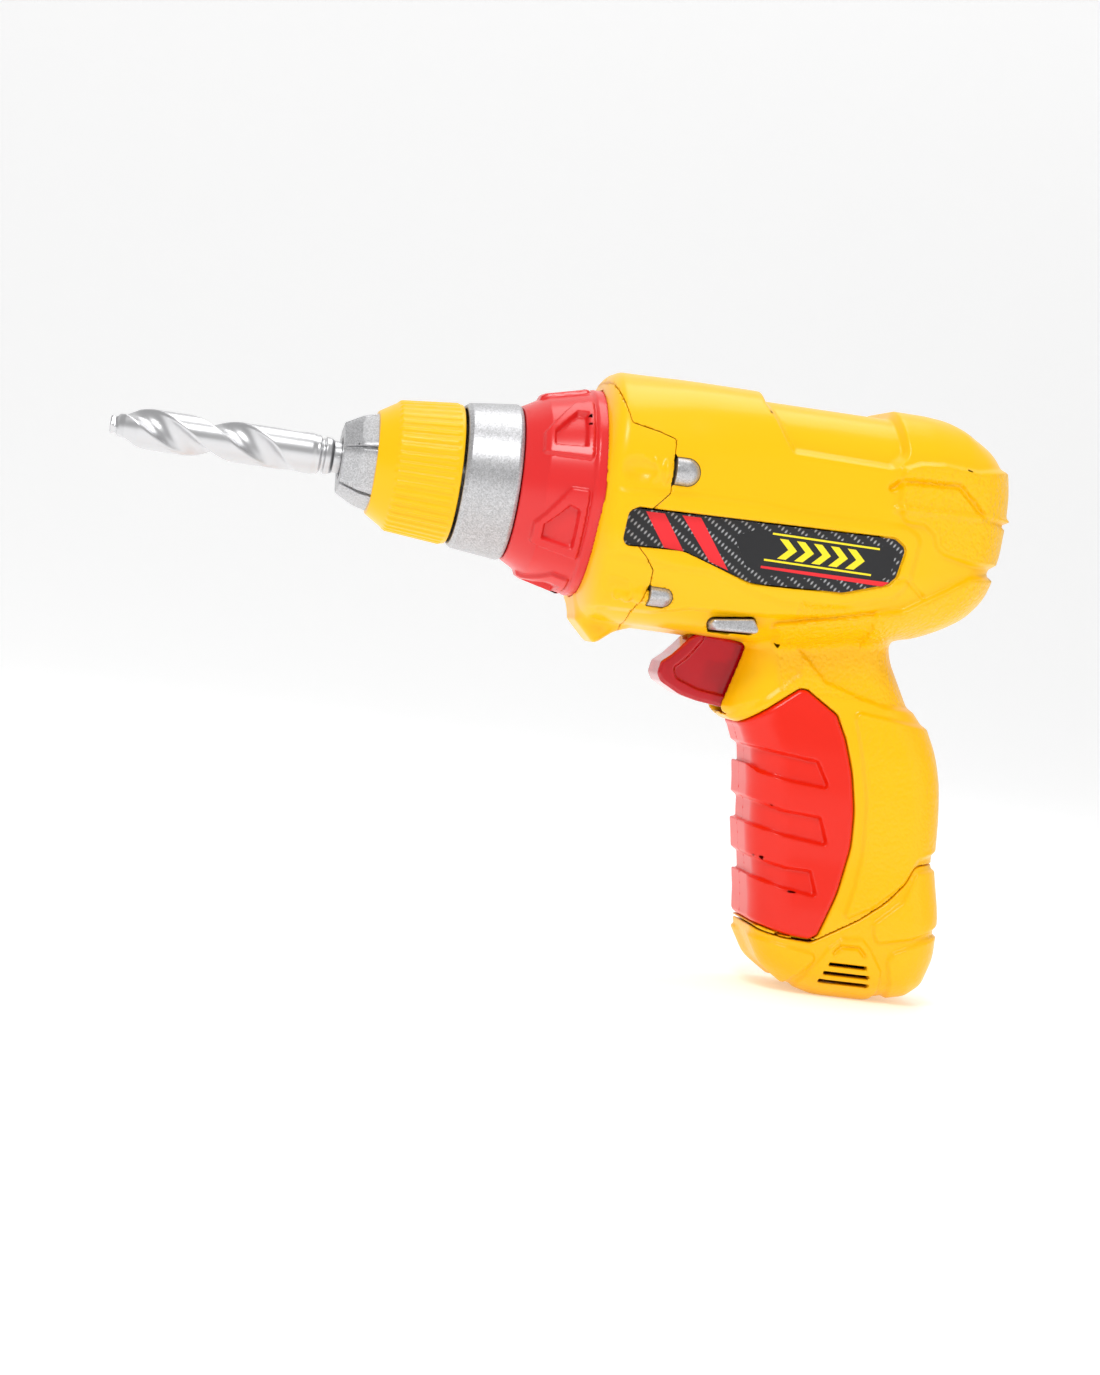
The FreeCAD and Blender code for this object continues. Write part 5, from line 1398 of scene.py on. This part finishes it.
# ------------------------------------------------------------------ printed labels
@dataclass(frozen=True)
class Labels:
    """Printed film on both flanks: dark weave, slanted red bars and a plain chevron mark.

    Attributes:
        floor: How far out the film's underside lies.
        film: Thickness of the film.
        print_film: Thickness of each printed layer.
    """

    floor: float = 27.37
    film: float = 0.22
    print_film: float = 0.04

    def plate(self, name: str, corners: Array, side: Side, start: float, thick: float,
              finish: bpy.types.Material, replaces: Sequence[str] = ()) -> bpy.types.Object:
        """One flat plate of the label.

        Args:
            name: Name of the piece.
            corners: Outline in (x, z).
            side: Flank it lies on.
            start: Distance of its underside from the middle plane.
            thick: Its thickness.
            finish: Its material.
            replaces: CAD nodes it stands for.

        Returns:
            The object.
        """
        count = len(corners)
        near = np.column_stack([corners[:, 0], np.full(count, side.value * start), corners[:, 1]])
        far = near + np.array([0, side.value * thick, 0])
        points = (np.vstack([near, far]) + ORIGIN) * MM
        around = [(i, (i + 1) % count, (i + 1) % count + count, i + count) for i in range(count)]
        faces = [tuple(range(count)), tuple(range(2 * count - 1, count - 1, -1)), *around]
        mesh = bpy.data.meshes.new(name)
        mesh.from_pydata(points.tolist(), [], faces)
        made = bpy.data.objects.new(name, mesh)
        bpy.context.scene.collection.objects.link(made)
        bpy.context.view_layer.objects.active = made
        made.select_set(True)
        bpy.ops.object.mode_set(mode="EDIT")
        bpy.ops.mesh.select_all(action="SELECT")
        bpy.ops.mesh.normals_make_consistent(inside=False)
        bpy.ops.object.mode_set(mode="OBJECT")
        made.select_set(False)
        made.data.materials.append(finish)
        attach(made, "housing")
        if replaces:
            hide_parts(*replaces)
        return made

    def weave(self) -> bpy.types.Material:
        """Near-black film with slanted rows of short bright dashes.

        Returns:
            The material.
        """
        made = bpy.data.materials.new("label_weave")
        made.use_nodes = True
        nodes, links = made.node_tree.nodes, made.node_tree.links
        shader = nodes["Principled BSDF"]
        shader.inputs["Roughness"].default_value = 0.28
        shader.inputs["Coat Weight"].default_value = 0.4
        where = nodes.new("ShaderNodeTexCoord")
        turn = nodes.new("ShaderNodeMapping")
        turn.inputs["Rotation"].default_value = (0, math.radians(-33), 0)
        links.new(where.outputs["Object"], turn.inputs["Vector"])
        rows = nodes.new("ShaderNodeTexWave")
        rows.wave_type = "BANDS"
        rows.bands_direction = "Z"
        rows.inputs["Scale"].default_value = 115.0
        dashes = nodes.new("ShaderNodeTexWave")
        dashes.wave_type = "BANDS"
        dashes.bands_direction = "X"
        dashes.inputs["Scale"].default_value = 270.0
        for wave in (rows, dashes):
            wave.inputs["Distortion"].default_value = 0.0
            links.new(turn.outputs["Vector"], wave.inputs["Vector"])
        product = nodes.new("ShaderNodeMath")
        product.operation = "MULTIPLY"
        links.new(rows.outputs["Fac"], product.inputs[0])
        links.new(dashes.outputs["Fac"], product.inputs[1])
        ramp = nodes.new("ShaderNodeValToRGB")
        ramp.color_ramp.elements[0].position = 0.45
        ramp.color_ramp.elements[0].color = (0.012, 0.012, 0.014, 1)
        ramp.color_ramp.elements[1].position = 0.95
        ramp.color_ramp.elements[1].color = (0.42, 0.43, 0.45, 1)
        links.new(product.outputs["Value"], ramp.inputs["Fac"])
        links.new(ramp.outputs["Color"], shader.inputs["Base Color"])
        return made

    def plain(self) -> Finish:
        """Dark middle of the label."""
        return Finish("label_dark", (0.012, 0.012, 0.014), 0.3, coat=0.4)

    def chevron(self, x: float, z: float, width: float, height: float, thick: float) -> Array:
        """Outline of one right-pointing chevron whose lower left corner is (x, z)."""
        return np.array([(x, z), (x + thick, z), (x + width, z + height / 2), (x + thick, z + height),
                         (x, z + height), (x + width - thick, z + height / 2)])

    def build(self) -> None:
        """Build both labels."""
        weave = self.weave()
        dark, yellow, red = self.plain().material(), PRINT_YELLOW.material(), PRINT_RED.material()
        top = self.floor + self.film
        for side, node in ((Side.LEFT, "label_left"), (Side.RIGHT, "label_right")):
            self.plate(node + "_film", rounded(LABEL), side, self.floor, self.film, weave, [node])
            middle = rounded([(71.0, -6.5), (76.5, -3.9), (114.5, -3.4, 1), (113.8, -10.6, 1),
                              (110.5, -13.0, 2), (80.0, -15.4, 2), (75.0, -13.6)])
            self.plate(node + "_middle", middle, side, top, self.print_film, dark)
            layer = top + self.print_film
            for k, (a, b) in enumerate((((47.0, -3.4), (53.0, -12.0)), ((56.6, -3.1), (65.4, -13.9)))):
                bar = np.array([a, (a[0] + 5.0, a[1] + 0.1),
                                (b[0] + 5.2, b[1] - (0.2 if k == 0 else 1.6)), b])
                self.plate(f"{node}_bar_{k}", bar, side, top, self.print_film, red)
            for k in range(5):
                mark = self.chevron(83.0 + 4.6 * k, -10.6, 5.0, 5.2, 2.3)
                self.plate(f"{node}_chevron_{k}", mark, side, layer, self.print_film, yellow)
            for k, (x0, x1, z) in enumerate(((81.0, 110.0, -4.6), (79.6, 108.6, -11.6))):
                line = np.array([(x0, z), (x1, z), (x1, z + 0.5), (x0, z + 0.5)])
                self.plate(f"{node}_line_{k}", line, side, layer, self.print_film, yellow)
            wedge = np.array([(79.0, -13.6), (112.0, -13.9), (113.8, -12.6), (79.0, -13.0)])
            self.plate(f"{node}_wedge", wedge, side, layer, self.print_film, red)


# ------------------------------------------------------------------ CAD pieces that keep their form
def dress_inside() -> None:
    """Give the CAD pieces inside the housing their finishes."""
    table = {
        "housing_screws": STEEL, "spindle": STEEL, "output_gear": NYLON, "trigger_switch": BLACK,
        "direction_switch": BLACK, "battery_cells": CELL, "battery_contacts": STEEL, "battery_tray": BLACK,
        "circuit_board": BOARD, "board_components": BLACK, "speaker": BLACK, "wires": WIRE,
        "speaker_lead": WIRE, "lamps": CLEAR, "lamp_board": BOARD, "bearing_bush": BRASS,
        "gearbox_plate_front": BLACK, "gearbox_frame": BLACK, "gearbox_screws": STEEL, "idler_axle": STEEL,
        "idler_gear": NYLON, "motor_rotor": STEEL, "motor_pinion": NYLON, "motor_can": STEEL,
        "motor_end_bell": BLACK, "motor_terminals": BRASS,
    }
    for name, finish in table.items():
        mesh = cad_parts[name].data
        mesh.materials.clear()
        mesh.materials.append(finish.material())
        LOG.info("%s: CAD form, %s", name, finish.name)


# ------------------------------------------------------------------ camera, light and floor
@dataclass(frozen=True)
class Studio:
    """Camera, pale floor and soft light.

    Attributes:
        lens_mm: Focal length for a 36 mm sensor along the longer side.
        right: Camera's right in the row's frame.
        down: Camera's down.
        ahead: Camera's viewing direction.
        sleeve_seen: Where the sleeve's rear centre is seen, in camera axes, mm.
    """

    lens_mm: float = 68.07
    right: tuple[float, float, float] = (0.97604, -0.16817, 0.13806)
    down: tuple[float, float, float] = (0.13110, -0.05188, -0.99001)
    ahead: tuple[float, float, float] = (0.17365, 0.98439, -0.02860)
    sleeve_seen: tuple[float, float, float] = (-25.4, -56.2, 685.9)

    def camera(self) -> None:
        """Create the camera and make it the scene's."""
        data = bpy.data.cameras.new("camera")
        data.sensor_fit = "AUTO"
        data.sensor_width = 36.0
        data.lens = self.lens_mm
        made = bpy.data.objects.new("camera", data)
        bpy.context.scene.collection.objects.link(made)
        right, down, ahead = (np.array(v) for v in (self.right, self.down, self.ahead))
        sx, sy, sz = self.sleeve_seen
        place = (ORIGIN - right * sx - down * sy - ahead * sz) * MM
        rotation = Matrix((right, -down, -ahead)).transposed().to_4x4()
        made.matrix_world = Matrix.Translation(Vector(place)) @ rotation
        bpy.context.scene.camera = made

    def light(self, name: str, place: Sequence[float], target: Sequence[float], size: float,
              power: float) -> None:
        """One soft square light, aimed at a point.

        Args:
            name: Name of the light.
            place: Where it stands, in metres.
            target: The point that it is aimed at.
            size: Side of its square, in metres.
            power: Its power, in watts.
        """
        data = bpy.data.lights.new(name, "AREA")
        data.shape = "SQUARE"
        data.size = size
        data.energy = power
        made = bpy.data.objects.new(name, data)
        bpy.context.scene.collection.objects.link(made)
        made.location = place
        aim = Vector(target) - Vector(place)
        made.rotation_euler = aim.to_track_quat("-Z", "Y").to_euler()

    def build(self) -> None:
        """Build floor, world, lights and camera."""
        world = bpy.data.worlds.new("studio")
        world.use_nodes = True
        world.node_tree.nodes["Background"].inputs["Color"].default_value = (1, 1, 1, 1)
        world.node_tree.nodes["Background"].inputs["Strength"].default_value = 0.5
        bpy.context.scene.world = world
        bend = [(1.2 + 0.8 * math.sin(a), 0.8 - 0.8 * math.cos(a)) for a in np.linspace(0, math.pi / 2, 17)]
        sweep = [(-4.0, 0.0), *bend, (2.0, 5.0)]
        points = [(x, y, z) for y, z in sweep for x in (-6.0, 6.0)]
        strips = [(2 * k, 2 * k + 1, 2 * k + 3, 2 * k + 2) for k in range(len(sweep) - 1)]
        mesh = bpy.data.meshes.new("floor")
        mesh.from_pydata(points, [], strips)
        mesh.polygons.foreach_set("use_smooth", [True] * len(strips))
        floor = bpy.data.objects.new("floor", mesh)
        bpy.context.scene.collection.objects.link(floor)
        floor.data.materials.append(FLOOR.material())
        self.light("key", (-0.35, -0.75, 0.95), (0, 0, 0.08), 0.35, 5.2)
        self.light("fill", (0.75, -0.8, 0.35), (0, 0, 0.08), 0.7, 0.9)
        self.light("top", (0.0, 0.15, 1.0), (0, 0, 0.08), 0.6, 3.2)
        scene = bpy.context.scene
        scene.view_settings.view_transform = "Standard"
        scene.view_settings.look = "None"
        self.camera()


def main() -> None:
    """Build the drill's looks piece by piece, then the studio."""
    logging.basicConfig(level=logging.INFO, format="%(message)s")
    NoseParts().build()
    Controls().build()
    Housing().build()
    Labels().build()
    dress_inside()
    Studio().build()
    bpy.context.view_layer.update()


if __name__ == "__main__":
    main()
